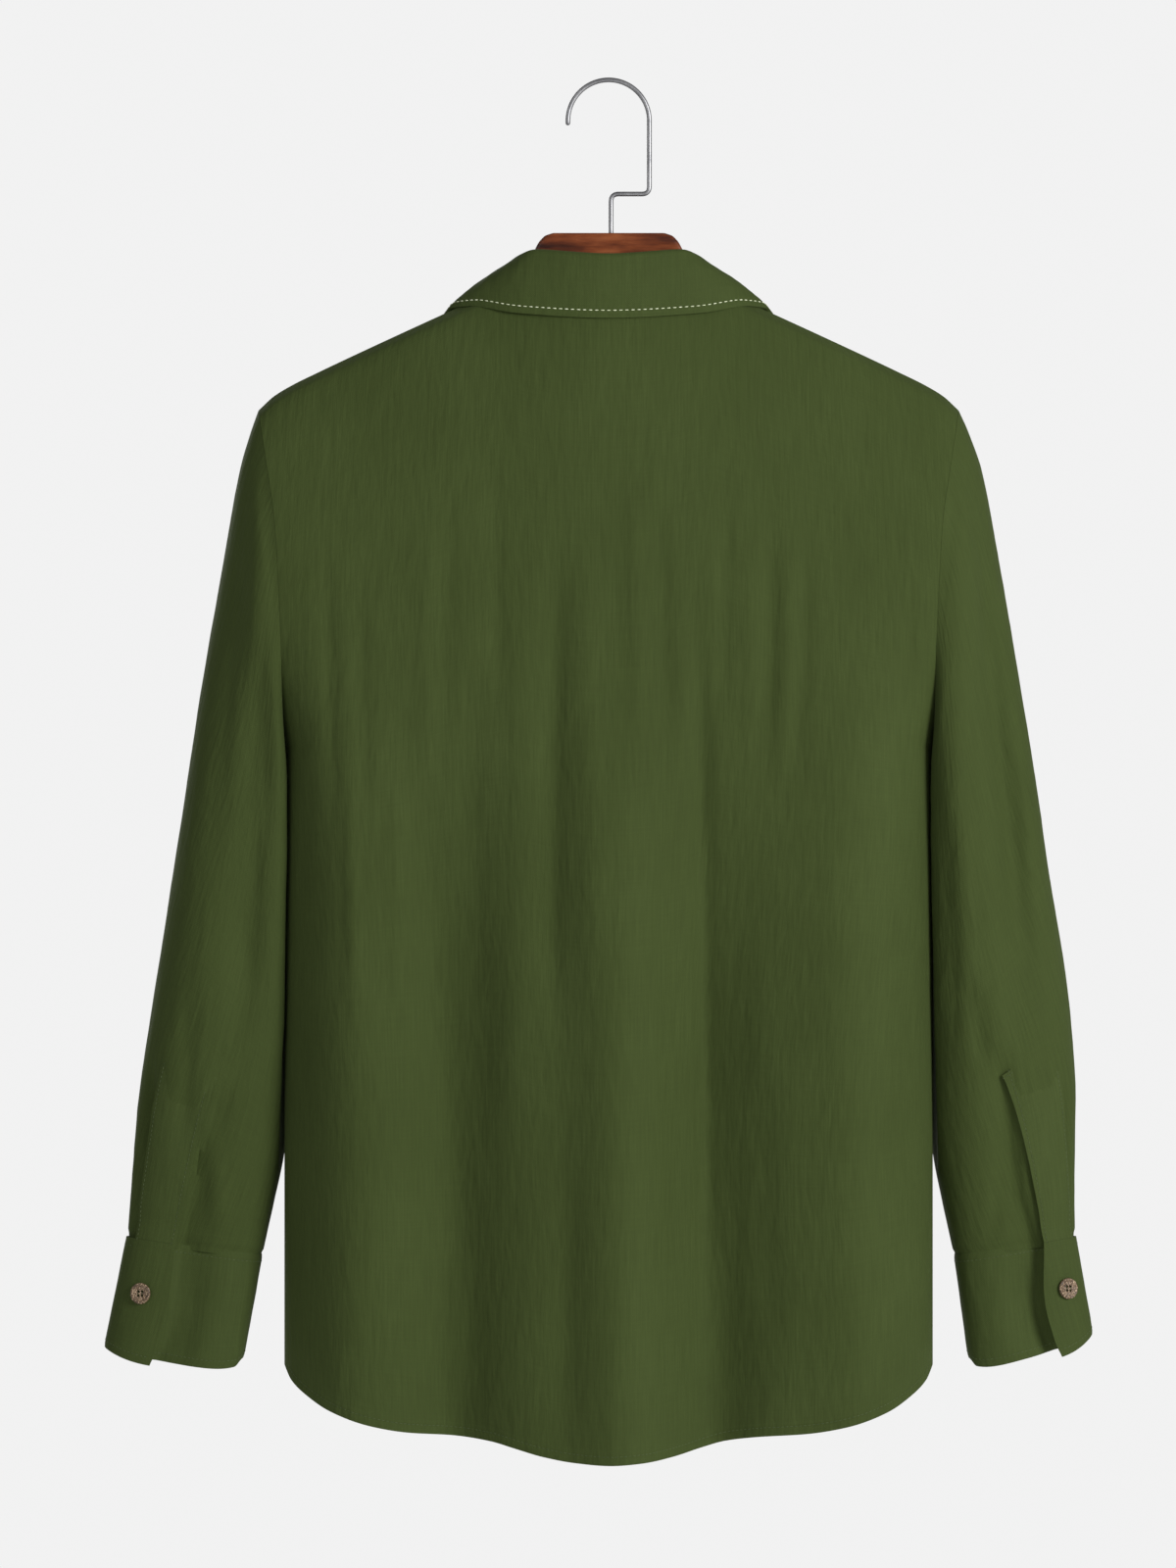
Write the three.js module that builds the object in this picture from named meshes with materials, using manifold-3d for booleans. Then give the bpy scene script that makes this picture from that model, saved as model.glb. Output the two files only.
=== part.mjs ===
// A long-sleeve button shirt that hangs on a wooden hanger with a wire hook.
// Millimetres, +Z up. The back of the shirt faces +Y and the wearer's left side is +X.
// The origin is the top of the hook's inner curve, where a rail carries it.
// Cloth is made as walls: a grid of outer points, a second grid inside it, and the rims between them.

import * as THREE from 'three';
import Module from 'manifold-3d';
import { mergeVertices } from 'three/addons/utils/BufferGeometryUtils.js';

// Driving dimensions

const SEAM_GAP = 0.4;
const CLOTH_WALL = 1.6;
const COLLAR_WALL = 2.2;
const CUFF_WALL = 2.0;
const STRIP_WALL = 1.2;
const HALF_SEAM_GAP = SEAM_GAP / 2;
const WELD = 1e-4;
const NEARLY_ZERO = 1e-6;

const SHOULDER_TIP_Z = -217.5;
const ARMPIT_Z = -440;
const SIDE_HEM_Z = -850;
const NECK_HALF_WIDTH = 74;
const NECK_POINT_Z = -137.6;
const BACK_NECK_Z = -151;
const FRONT_NECK_Z = -205;
const NECK_ROUNDNESS = 2.4;
const FRONT_LIFT = 2.2;

const NECK_COLUMNS = 6;
const NECK_CROWDING = 1.25;
const SHOULDER_COLUMNS = 9;
const COLUMN_CROWDING = 1.5;
const ARMHOLE_ROWS = 10;
const SIDE_ROWS = 10;

// The ridge that the shoulders hang from, carried on to the middle of the neck.
const SHOULDER_LINE = [
  { x: 0, z: -104 },
  { x: 74, z: -137.6 },
  { x: 126, z: -161.3 },
  { x: 160, z: -177 },
  { x: 193, z: -192.6 },
  { x: 210, z: -201 },
  { x: 222, z: -208.3 },
  { x: 232, z: -217.5 },
];

// Half of the body's width, by height.
const BODY_EDGE = [
  { z: -217.5, x: 232 },
  { z: -261, x: 225 },
  { z: -292, x: 220.5 },
  { z: -335, x: 217.8 },
  { z: -380, x: 216 },
  { z: -440, x: 215 },
  { z: -860, x: 215 },
];

// How far front and back stand from the middle plane, by the drop below the shoulder line.
const HALF_DEPTH = [
  { drop: 0, depth: 0.2 },
  { drop: 6, depth: 11 },
  { drop: 20, depth: 18 },
  { drop: 50, depth: 28 },
  { drop: 110, depth: 42 },
  { drop: 220, depth: 53 },
  { drop: 400, depth: 58 },
  { drop: 820, depth: 62 },
];

const SIDE_CORNER = { round: 3, square: 10, length: 110 };

// The shirt-tail hems, from the middle to the side.
const BACK_HEM = [
  { x: 0, z: -916.5 },
  { x: 22, z: -915.5 },
  { x: 43, z: -912.6 },
  { x: 61, z: -907.4 },
  { x: 78, z: -902.2 },
  { x: 100, z: -899.2 },
  { x: 131, z: -897 },
  { x: 157, z: -891.8 },
  { x: 184, z: -881.4 },
  { x: 200, z: -871 },
  { x: 210, z: -860.6 },
  { x: 215, z: -850 },
];
const FRONT_HEM = [
  { x: 0, z: -900 },
  { x: 90, z: -896 },
  { x: 140, z: -889 },
  { x: 180, z: -876 },
  { x: 202, z: -864 },
  { x: 215, z: -850 },
];

// Long folds: where each one runs at the hem, how it leans, its width, rise and upper end.
const BACK_FOLDS = [
  { x: 179, lean: 4, width: 27, rise: 7, start: -330 },
  { x: 127, lean: 6, width: 32, rise: -9, start: -380 },
  { x: 56, lean: -6, width: 20, rise: 4, start: -240 },
  { x: 8, lean: -4, width: 42, rise: 11, start: -300 },
  { x: -63, lean: 2, width: 28, rise: -13, start: -430 },
  { x: -148, lean: 0, width: 36, rise: 9, start: -330 },
];
const FRONT_FOLDS = [
  { x: 158, lean: 8, width: 30, rise: 8, start: -320 },
  { x: 104, lean: 6, width: 30, rise: -9, start: -360 },
  { x: 52, lean: 0, width: 28, rise: 6, start: -300 },
  { x: -58, lean: 0, width: 30, rise: 8, start: -320 },
  { x: -112, lean: -6, width: 28, rise: -9, start: -400 },
  { x: -164, lean: -8, width: 30, rise: 7, start: -340 },
];
const FOLD_FULL_BELOW = 330;
const FOLD_SIDE_FADE = 10;

// The sleeves' outer and inner outlines, by height, for the wearer's left and right.
const SLEEVE_OUTER = [
  { z: -217.5, left: 232.5, right: 232.5 },
  { z: -232, left: 237.6, right: 239 },
  { z: -257, left: 244.6, right: 247.6 },
  { z: -309, left: 254.2, right: 258 },
  { z: -413, left: 271.8, right: 275 },
  { z: -517, left: 288, right: 291.4 },
  { z: -621, left: 304.2, right: 306.8 },
  { z: -673, left: 312, right: 310 },
  { z: -725, left: 316.4, right: 309.6 },
  { z: -765, left: 319.5, right: 309.8 },
];
const SLEEVE_INNER = [
  { z: -440, left: 215.5, right: 215.5 },
  { z: -480, left: 210, right: 210 },
  { z: -540, left: 207, right: 207 },
  { z: -610, left: 207, right: 207 },
  { z: -660, left: 209.5, right: 209.5 },
  { z: -712, left: 215.5, right: 215.5 },
  { z: -745, left: 222.5, right: 222 },
  { z: -777, left: 229.5, right: 229 },
];
// Along the sleeve, from 0 at the armhole to 1 at the cuff.
const SLEEVE_SECTION = [
  { along: 0, depth: 40, forward: 0 },
  { along: 0.12, depth: 47, forward: 5 },
  { along: 0.3, depth: 52, forward: 14 },
  { along: 0.6, depth: 47, forward: 17 },
  { along: 0.85, depth: 36, forward: 13 },
  { along: 1, depth: 24, forward: 10 },
];
const SLEEVE_RINGS = 14;
const SLEEVE_RING_CROWDING = 1.35;
const SLEEVE_SQUARENESS = 2.6;
const SLEEVE_CLEARANCE = 3.2;
const SLEEVE_CLEAR_FROM = 0.1;
// The share of the sleeve over which its section turns from the armhole's shape into an oval.
const SLEEVE_SETTLE = 0.5;
const SLEEVE_FOLD_FADE = 0.2;
// Layers on an oval are lifted mostly away from its flat sides, less across it.
const OVAL_LIFT = { across: 0.6, back: 1.6 };
const OVAL_LIFT_ACROSS = 0.5;
// Sleeve folds, by the turn round the sleeve: 0 is the outside, 90 the back, 180 next to the body.
const SLEEVE_FOLDS = {
  left: [
    { turn: 96, width: 20, rise: -6, start: 0.06, end: 0.7 },
    { turn: 140, width: 18, rise: 4, start: 0.1, end: 0.75 },
    { turn: 10, width: 12, rise: -5, start: 0.8, end: 1.15 },
    { turn: 255, width: 24, rise: -8, start: 0.1, end: 0.85 },
    { turn: 310, width: 20, rise: 4, start: 0.15, end: 0.8 },
  ],
  right: [
    { turn: 62, width: 20, rise: -8, start: 0.04, end: 0.72 },
    { turn: 105, width: 20, rise: 4, start: 0.1, end: 0.8 },
    { turn: 10, width: 12, rise: -5, start: 0.8, end: 1.15 },
    { turn: 262, width: 24, rise: -8, start: 0.1, end: 0.85 },
    { turn: 305, width: 20, rise: 4, start: 0.15, end: 0.8 },
  ],
};

// Each cuff's four corners as seen from behind, where its top layer ends, how far that layer's corner hangs
// lower, and the turns of the button and of the strip above it.
const CUFFS = {
  left: {
    outerTop: [319.5, -765.6],
    innerTop: [229.5, -777.6],
    outerEnd: [334.4, -838],
    innerEnd: [242, -850],
    endTurn: 84,
    cornerDrop: 4,
    buttonTurn: 59,
    stripEndTurns: [36, 82],
  },
  right: {
    outerTop: [309.8, -765.6],
    innerTop: [229, -777.6],
    outerEnd: [321, -830],
    innerEnd: [238.5, -850],
    endTurn: 74,
    cornerDrop: 6,
    buttonTurn: 51.5,
    stripEndTurns: [25, 73],
  },
};
const CUFF = {
  underTurn: 30,
  columns: 26,
  rows: 3,
  lift: 2.6,
  liftFrom: -12,
  liftFull: 24,
  edgeSag: 4.4,
};
const SLEEVE_STRIP = {
  from: 0.785,
  to: 0.994,
  rows: 7,
  columns: 4,
  topTurns: [47, 90],
  lift: 2.3,
};

// The collar, by the turn round the neck: 0 is the middle of the back, 180 the middle of the front.
const COLLAR_FOLD = [
  { turn: 0, x: 0, y: 26, z: -116.6 },
  { turn: 45, x: 46, y: 17, z: -114.6 },
  { turn: 60, x: 52.5, y: 12, z: -116.8 },
  { turn: 75, x: 58, y: 5.5, z: -120 },
  { turn: 90, x: 63, y: -3, z: -124.5 },
  { turn: 135, x: 47, y: -30, z: -152 },
  { turn: 180, x: 0, y: -41, z: -178 },
];
const COLLAR_EDGE = [
  { turn: 0, x: 0, y: 33, z: -157.3 },
  { turn: 35, x: 60, y: 25.5, z: -153 },
  { turn: 62, x: 92, y: 11.5, z: -147 },
  { turn: 84, x: 107, y: 1, z: -148.4 },
  { turn: 104, x: 112, y: -14, z: -160 },
  { turn: 128, x: 102, y: -31, z: -190 },
  { turn: 152, x: 80, y: -43, z: -222 },
  { turn: 176, x: 52, y: -52, z: -250 },
];
const COLLAR_END_TURN = 175;
const COLLAR_COLUMNS = 30;
const COLLAR_ROLL = { start: 0.4, centre: 1.6, height: 1.5, radius: 3.8 };
const COLLAR_ROLL_TURNS = [180, 120, 60, 0];
const COLLAR_FALL_STEPS = [0.22, 0.48, 0.75, 1];
const COLLAR_FALL_BULGE = { out: 1, up: 0.5 };
const STAND = { rows: 2, lift: 2.8, liftFrom: 140, liftFull: 164 };

const STRIP_LIFT = FRONT_LIFT + SEAM_GAP + STRIP_WALL;
const BUTTON = {
  radius: 7,
  footRadius: 5.7,
  thickness: 2.6,
  waist: 1.2,
  rimWidth: 1.6,
  rimRound: 0.15,
  dish: 0.7,
  sides: 14,
};
const FRONT_BUTTONS = { count: 7, firstZ: -238, pitch: 88 };
const COLLAR_BUTTON_Z = -191;
const BUTTON_SEAT = 0.3;
// How far a button reaches on the stand and on a cuff, as a turn and a share of their height.
const COLLAR_BUTTON_SPAN = [9, 0.22];
const CUFF_BUTTON_SPAN = [10, 0.1];

const HANGER = {
  halfThickness: 6,
  bevel: 2,
  underCloth: 4.6,
  armAt: [84, 126, 160, 193, 214],
  lowerEdge: [
    { x: 217, z: -214.9 },
    { x: 212, z: -224.9 },
    { x: 202, z: -227.9 },
    { x: 140, z: -198 },
    { x: 70, z: -174.2 },
  ],
};
const HANGER_HUMP = [
  { x: 41, z: -100 },
  { x: 49, z: -111 },
  { x: 60, z: -142 },
];
const HOOK = {
  wire: 1.6,
  archRadius: 27,
  archCentreZ: -25.4,
  archEndDrop: 1.6,
  stemX: -1.6,
  stemEndZ: -124,
  jogZ: -74.1,
  bend: 5,
  sides: 10,
  steps: 56,
  holeClearance: 0.35,
  holeSides: 16,
  drillLength: 60,
};

const SIDES = { left: 1, right: -1 };

// Curves through short tables

// A smooth curve through the rows of a table that never swings past a row's value.
// A level one starts flat, so that its mirror image joins it without a kink.
function curveThrough(rows, key, value, level = false) {
  const sorted = [...rows].sort((a, b) => a[key] - b[key]);
  const at = sorted.map((row) => row[key]);
  const val = sorted.map((row) => row[value]);
  const last = at.length - 1;
  const slope = at.slice(1).map((x, i) => (val[i + 1] - val[i]) / (x - at[i]));
  const tangent = at.map((_, i) => {
    if (i === 0) return level ? 0 : slope[0];
    if (i === last) return slope[last - 1];
    if (slope[i - 1] * slope[i] <= 0) return 0;
    return (2 * slope[i - 1] * slope[i]) / (slope[i - 1] + slope[i]);
  });
  return (x) => {
    if (x <= at[0]) return val[0];
    if (x >= at[last]) return val[last];
    let i = 0;
    while (x > at[i + 1]) i += 1;
    const width = at[i + 1] - at[i];
    const t = (x - at[i]) / width;
    const rise = val[i] * (1 + 2 * t) * (1 - t) ** 2 + val[i + 1] * t ** 2 * (3 - 2 * t);
    return rise + width * (tangent[i] * t * (1 - t) ** 2 + tangent[i + 1] * t ** 2 * (t - 1));
  };
}

const lerp = THREE.MathUtils.lerp;
const smooth = (x, from, to) => THREE.MathUtils.smoothstep(x, from, to);
const radians = THREE.MathUtils.degToRad;
const vec = (x, y, z) => new THREE.Vector3(x, y, z);
const steps = (count) => Array.from({ length: count + 1 }, (_, i) => i / count);

const shoulderZ = curveThrough(SHOULDER_LINE, 'x', 'z', true);
const bodyEdgeX = curveThrough(BODY_EDGE, 'z', 'x');
const halfDepth = curveThrough(HALF_DEPTH, 'drop', 'depth');
const backHemZ = curveThrough(BACK_HEM, 'x', 'z', true);
const frontHemZ = curveThrough(FRONT_HEM, 'x', 'z', true);

// Walls

function meshFromFaces(points, faces) {
  const geometry = new THREE.BufferGeometry();
  const places = points.flatMap((p) => [p.x, p.y, p.z]);
  geometry.setAttribute('position', new THREE.Float32BufferAttribute(places, 3));
  let volume = 0;
  for (const [a, b, c] of faces) volume += points[a].dot(vec(0, 0, 0).crossVectors(points[b], points[c]));
  const outward = volume > 0 ? faces : faces.map(([a, b, c]) => [a, c, b]);
  geometry.setIndex(outward.flat());
  return geometry;
}

// The direction from each point of a grid of rows into the cloth. Ringed grids close on themselves, and the
// sign turns the directions round where a grid's rows run the other way.
function gridNormals(grid, ringed, sign) {
  const rows = grid.length;
  const columns = grid[0].length;
  return grid.map((row, i) =>
    row.map((_, j) => {
      const left = ringed ? row[(j + columns - 1) % columns] : row[Math.max(j - 1, 0)];
      const right = ringed ? row[(j + 1) % columns] : row[Math.min(j + 1, columns - 1)];
      const across = right.clone().sub(left);
      const down = grid[Math.min(i + 1, rows - 1)][j].clone().sub(grid[Math.max(i - 1, 0)][j]);
      return across.cross(down).normalize().multiplyScalar(sign);
    }),
  );
}

function innerGrid(grid, thickness, { ringed = false, sign = 1, keep = (p) => p } = {}) {
  const normals = gridNormals(grid, ringed, sign);
  return grid.map((row, i) =>
    row.map((p, j) => keep(p.clone().addScaledVector(normals[i][j], thickness), p, i, j)),
  );
}

// A closed solid between an outer and an inner grid of points.
function wall(outer, inner, ringed = false) {
  const rows = outer.length;
  const columns = outer[0].length;
  const points = [...outer.flat(), ...inner.flat()];
  const half = rows * columns;
  const faces = [];
  const quad = (a, b, c, d) => faces.push([a, b, c], [a, c, d]);
  const lastColumn = ringed ? columns : columns - 1;
  for (let i = 0; i < rows - 1; i += 1) {
    for (let j = 0; j < lastColumn; j += 1) {
      const next = (j + 1) % columns;
      const row = i * columns;
      const [a, b, c, d] = [row + j, row + columns + j, row + columns + next, row + next];
      quad(a, b, c, d);
      quad(half + a, half + d, half + c, half + b);
    }
  }
  for (let j = 0; j < lastColumn; j += 1) {
    const next = (j + 1) % columns;
    const end = (rows - 1) * columns;
    quad(j, next, half + next, half + j);
    quad(end + next, end + j, half + end + j, half + end + next);
  }
  if (!ringed) {
    for (let i = 0; i < rows - 1; i += 1) {
      const [a, b] = [i * columns, (i + 1) * columns];
      const [c, d] = [a + columns - 1, b + columns - 1];
      quad(b, a, half + a, half + b);
      quad(c, d, half + d, half + c);
    }
  }
  return meshFromFaces(points, faces);
}

// Body

function foldRise(folds, x, z, share) {
  let rise = 0;
  for (const fold of folds) {
    const grown = smooth(-z, -fold.start, -fold.start + FOLD_FULL_BELOW);
    const centre = fold.x + fold.lean * smooth(z, SIDE_HEM_Z, fold.start);
    rise += fold.rise * grown * Math.exp(-(((x - centre) / fold.width) ** 2));
  }
  return rise * (1 - share ** FOLD_SIDE_FADE);
}

// How far the side is closed at a height: 0 at the shoulder tip, 1 from the armpit down.
function sideClosed(edgeZ) {
  return THREE.MathUtils.clamp((SHOULDER_TIP_Z - edgeZ) / (SHOULDER_TIP_Z - ARMPIT_Z), 0, 1) ** 3;
}

// How square the closed side is: the corner is tight at the armpit and opens into a round side below it.
function sidePower(edgeZ) {
  const { round, square, length } = SIDE_CORNER;
  return round + (square - round) * Math.exp(-Math.max(ARMPIT_Z - edgeZ, 0) / length);
}

function neckZ(x, face) {
  const middle = face > 0 ? BACK_NECK_Z : FRONT_NECK_Z;
  return middle + (NECK_POINT_Z - middle) * Math.min(Math.abs(x) / NECK_HALF_WIDTH, 1) ** NECK_ROUNDNESS;
}

function topZ(x, face) {
  return Math.abs(x) < NECK_HALF_WIDTH ? neckZ(x, face) : shoulderZ(Math.abs(x));
}

// A point of the body: share runs from -1 to 1 across it, edgeZ is the height of its row at the side,
// and face is 1 for the back and -1 for the front.
function bodyPoint(share, edgeZ, face, lift = 0) {
  const fall = (SHOULDER_TIP_Z - edgeZ) / (SHOULDER_TIP_Z - SIDE_HEM_Z);
  const tipX = BODY_EDGE[0].x;
  const sideX = BODY_EDGE[BODY_EDGE.length - 1].x;
  const hem = face > 0 ? backHemZ : frontHemZ;
  const z = lerp(topZ(share * tipX, face), hem(Math.abs(share) * sideX), fall);
  const x = share * bodyEdgeX(edgeZ);
  const round = Math.sqrt(Math.max(1 - sideClosed(edgeZ) * Math.abs(share) ** sidePower(edgeZ), 0));
  const depth = halfDepth(Math.max(shoulderZ(Math.abs(x)) - z, 0));
  const fold = foldRise(face > 0 ? BACK_FOLDS : FRONT_FOLDS, x, z, Math.abs(share));
  return vec(x, face * (Math.max(depth * round + fold, HALF_SEAM_GAP) + lift), z);
}

const crowded = (count, crowding) => steps(count).map((t) => Math.sin(crowding * t) / Math.sin(crowding));
const neckShare = NECK_HALF_WIDTH / BODY_EDGE[0].x;
const neckFractions = crowded(NECK_COLUMNS, NECK_CROWDING);
const halfShares = [
  ...neckFractions.map((t) => t * neckShare),
  ...crowded(SHOULDER_COLUMNS, COLUMN_CROWDING)
    .slice(1)
    .map((t) => lerp(neckShare, 1, t)),
];
const armholeHeights = steps(ARMHOLE_ROWS).map((t) =>
  lerp(SHOULDER_TIP_Z, ARMPIT_Z, (1 - Math.cos(Math.PI * t)) / 2),
);
const rowHeights = [
  ...armholeHeights,
  ...steps(SIDE_ROWS)
    .slice(1)
    .map((t) => lerp(ARMPIT_Z, SIDE_HEM_Z, t)),
];

function panel(shares, face, lift) {
  const grid = rowHeights.map((edgeZ) => shares.map((share) => bodyPoint(share, edgeZ, face, lift(share))));
  const keep = (p, outer, row) => {
    const limit = bodyEdgeX(p.z);
    p.x = THREE.MathUtils.clamp(p.x, -limit, limit);
    p.y = face * Math.max(face * p.y, HALF_SEAM_GAP);
    if (row === 0) p.z = Math.min(p.z, outer.z);
    return p;
  };
  const sign = -face * Math.sign(shares[shares.length - 1] - shares[0]);
  return wall(grid, innerGrid(grid, CLOTH_WALL, { sign, keep }));
}

const flat = () => 0;
const overlapShare = halfShares[1];
// The left front comes back down to the body between these multiples of the overlap.
const LEFT_FRONT_EASE = [1.4, 3];
const leftFrontLift = (share) =>
  FRONT_LIFT * (1 - smooth(share, ...LEFT_FRONT_EASE.map((k) => overlapShare * k)));

function backPanel() {
  const shares = [...halfShares.slice(1).map((s) => -s).reverse(), ...halfShares];
  return panel(shares, 1, flat);
}

function frontPanel(side) {
  const shares = [-overlapShare, ...halfShares].map((share) => share * SIDES[side]);
  return panel(shares, -1, side === 'left' ? leftFrontLift : flat);
}

function frontStrip() {
  const shares = [-overlapShare, 0, overlapShare];
  const grid = rowHeights.map((edgeZ) => shares.map((share) => bodyPoint(share, edgeZ, -1, STRIP_LIFT)));
  const keep = (p, outer) => vec(p.x, p.y, Math.min(p.z, outer.z));
  return wall(grid, innerGrid(grid, STRIP_WALL, { sign: 1, keep }));
}

// Sleeves

function armholePoint(turn, side) {
  const angle = turn <= 180 ? turn : 360 - turn;
  const face = turn <= 180 ? 1 : -1;
  const edgeZ = lerp(SHOULDER_TIP_Z, ARMPIT_Z, (1 - Math.cos(radians(angle))) / 2);
  return bodyPoint(SIDES[side], edgeZ, face);
}

const bulge = (value, power) => Math.sign(value) * Math.abs(value) ** (2 / power);
const turnApart = (a, b) => Math.abs(((a - b + 540) % 360) - 180);

// The body's half width at a depth and height near its side.
function bodyHalfWidth(y, z) {
  const edgeX = bodyEdgeX(z);
  const share = Math.min(Math.abs(y) / halfDepth(Math.max(shoulderZ(edgeX) - z, 0)), 1);
  const round = (1 - share ** 2) / Math.max(sideClosed(z), NEARLY_ZERO);
  return edgeX * Math.min(round ** (1 / sidePower(z)), 1);
}

function sleeveShape(side) {
  const outerX = curveThrough(SLEEVE_OUTER, 'z', side);
  const innerX = curveThrough(SLEEVE_INNER, 'z', side);
  const depthAt = curveThrough(SLEEVE_SECTION, 'along', 'depth');
  const forwardAt = curveThrough(SLEEVE_SECTION, 'along', 'forward');
  const outerEndZ = SLEEVE_OUTER[SLEEVE_OUTER.length - 1].z;
  const innerEndZ = SLEEVE_INNER[SLEEVE_INNER.length - 1].z;
  const oval = (along, turn) => {
    const outerZ = lerp(SHOULDER_TIP_Z, outerEndZ, along);
    const innerZ = lerp(ARMPIT_Z, innerEndZ, along);
    const power = lerp(2, SLEEVE_SQUARENESS, along);
    const out = bulge(Math.cos(radians(turn)), power);
    const back = bulge(Math.sin(radians(turn)), power);
    let depth = depthAt(along);
    for (const fold of SLEEVE_FOLDS[side]) {
      const begun = smooth(along, fold.start, fold.start + SLEEVE_FOLD_FADE);
      const span = begun * (1 - smooth(along, fold.end - SLEEVE_FOLD_FADE, fold.end));
      depth += fold.rise * span * Math.exp(-((turnApart(turn, fold.turn) / fold.width) ** 2));
    }
    return vec(
      lerp(innerX(innerZ), outerX(outerZ), (1 + out) / 2),
      depth * back - forwardAt(along),
      lerp(innerZ, outerZ, (1 + out) / 2),
    );
  };
  return (along, turn, lift = 0) => {
    const p = oval(along, turn);
    const start = armholePoint(turn, side);
    start.x = Math.abs(start.x);
    const settle = (1 - Math.min(along / SLEEVE_SETTLE, 1)) ** 2;
    p.addScaledVector(start.sub(oval(0, turn)), settle);
    const clearance = SLEEVE_CLEARANCE * smooth(along, 0, SLEEVE_CLEAR_FROM);
    if (along > 0) p.x = Math.max(p.x, bodyHalfWidth(p.y, p.z) + clearance);
    p.x += SEAM_GAP;
    if (lift) {
      const centre = oval(along, 0).add(oval(along, 180)).multiplyScalar(0.5);
      const away = p.clone().sub(centre);
      const { across, back } = OVAL_LIFT;
      p.addScaledVector(vec(away.x * across, away.y * back, away.z * across).normalize(), lift);
    }
    p.x *= SIDES[side];
    return p;
  };
}

function sleeve(side) {
  const shape = sleeveShape(side);
  const turns = steps(2 * ARMHOLE_ROWS).slice(0, -1).map((t) => t * 360);
  const alongs = steps(SLEEVE_RINGS).map((t) => t ** SLEEVE_RING_CROWDING);
  const grid = alongs.map((along) => turns.map((turn) => shape(along, turn)));
  const middle = grid[0][0].clone().add(grid[0][ARMHOLE_ROWS]).multiplyScalar(0.5);
  const keep = (inner, outer, ring, column) => {
    if (ring > 0) return inner;
    const before = grid[0][(column + turns.length - 1) % turns.length];
    const after = grid[0][(column + 1) % turns.length];
    const inward = vec(0, after.z - before.z, before.y - after.y).normalize();
    if (inward.dot(middle.clone().sub(outer)) < 0) inward.negate();
    const rim = outer.clone().addScaledVector(inward, CLOTH_WALL);
    rim.x = SIDES[side] * (bodyEdgeX(rim.z) + SEAM_GAP);
    return rim;
  };
  return wall(grid, innerGrid(grid, CLOTH_WALL, { ringed: true, sign: SIDES[side], keep }), true);
}

function sleeveStrip(side) {
  const shape = sleeveShape(side);
  const grid = steps(SLEEVE_STRIP.rows).map((t) => {
    const along = lerp(SLEEVE_STRIP.from, SLEEVE_STRIP.to, t);
    const from = lerp(SLEEVE_STRIP.topTurns[0], CUFFS[side].stripEndTurns[0], t);
    const to = lerp(SLEEVE_STRIP.topTurns[1], CUFFS[side].stripEndTurns[1], t);
    return steps(SLEEVE_STRIP.columns).map((s) => shape(along, lerp(from, to, s), SLEEVE_STRIP.lift));
  });
  return wall(grid, innerGrid(grid, STRIP_WALL, { sign: SIDES[side] }));
}

// A cuff's outer surface: down runs from 0 at its seam to 1 at its end, whose edge sags between its folds.
function cuffPoint(side, down, turn, layerLift) {
  const cuff = CUFFS[side];
  const outer = [0, 1].map((k) => lerp(cuff.outerTop[k], cuff.outerEnd[k], down));
  const inner = [0, 1].map((k) => lerp(cuff.innerTop[k], cuff.innerEnd[k], down));
  const section = SLEEVE_SECTION[SLEEVE_SECTION.length - 1];
  const out = bulge(Math.cos(radians(turn)), SLEEVE_SQUARENESS);
  const back = bulge(Math.sin(radians(turn)), SLEEVE_SQUARENESS);
  const outward = vec(outer[0] - inner[0], 0, outer[1] - inner[1]).normalize();
  const p = vec(
    lerp(inner[0], outer[0], (1 + out) / 2) + SEAM_GAP,
    section.depth * back - section.forward,
    lerp(inner[1], outer[1], (1 + out) / 2),
  );
  p.z -= down * (CUFF.edgeSag * (1 - out ** 4) + cuff.cornerDrop * smooth(turn, 0, cuff.endTurn));
  p.addScaledVector(vec(0, back, 0).addScaledVector(outward, out * OVAL_LIFT_ACROSS).normalize(), layerLift);
  p.x *= SIDES[side];
  return p;
}

const cuffLift = (turn) => CUFF.lift * smooth(turn, CUFF.liftFrom, CUFF.liftFull);

function cuff(side) {
  const turns = steps(CUFF.columns).map((t) => lerp(CUFFS[side].endTurn, CUFF.underTurn - 360, t));
  const ring = (down) => turns.map((turn) => cuffPoint(side, down, turn, cuffLift(turn)));
  const grid = steps(CUFF.rows).map(ring);
  return wall(grid, innerGrid(grid, CUFF_WALL, { sign: -SIDES[side] }));
}

// Collar

function loopAt(table) {
  const [x, y, z] = ['x', 'y', 'z'].map((value) => curveThrough(table, 'turn', value));
  return (turn) => vec(Math.sign(turn) * x(Math.abs(turn)), y(Math.abs(turn)), z(Math.abs(turn)));
}

const foldAt = loopAt(COLLAR_FOLD);
const edgeAt = loopAt(COLLAR_EDGE);

// The level direction away from the neck at a turn of the collar.
function awayFromNeck(turn) {
  const ahead = foldAt(turn + 1).sub(foldAt(turn - 1));
  return vec(-ahead.y, ahead.x, 0).normalize();
}

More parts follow.
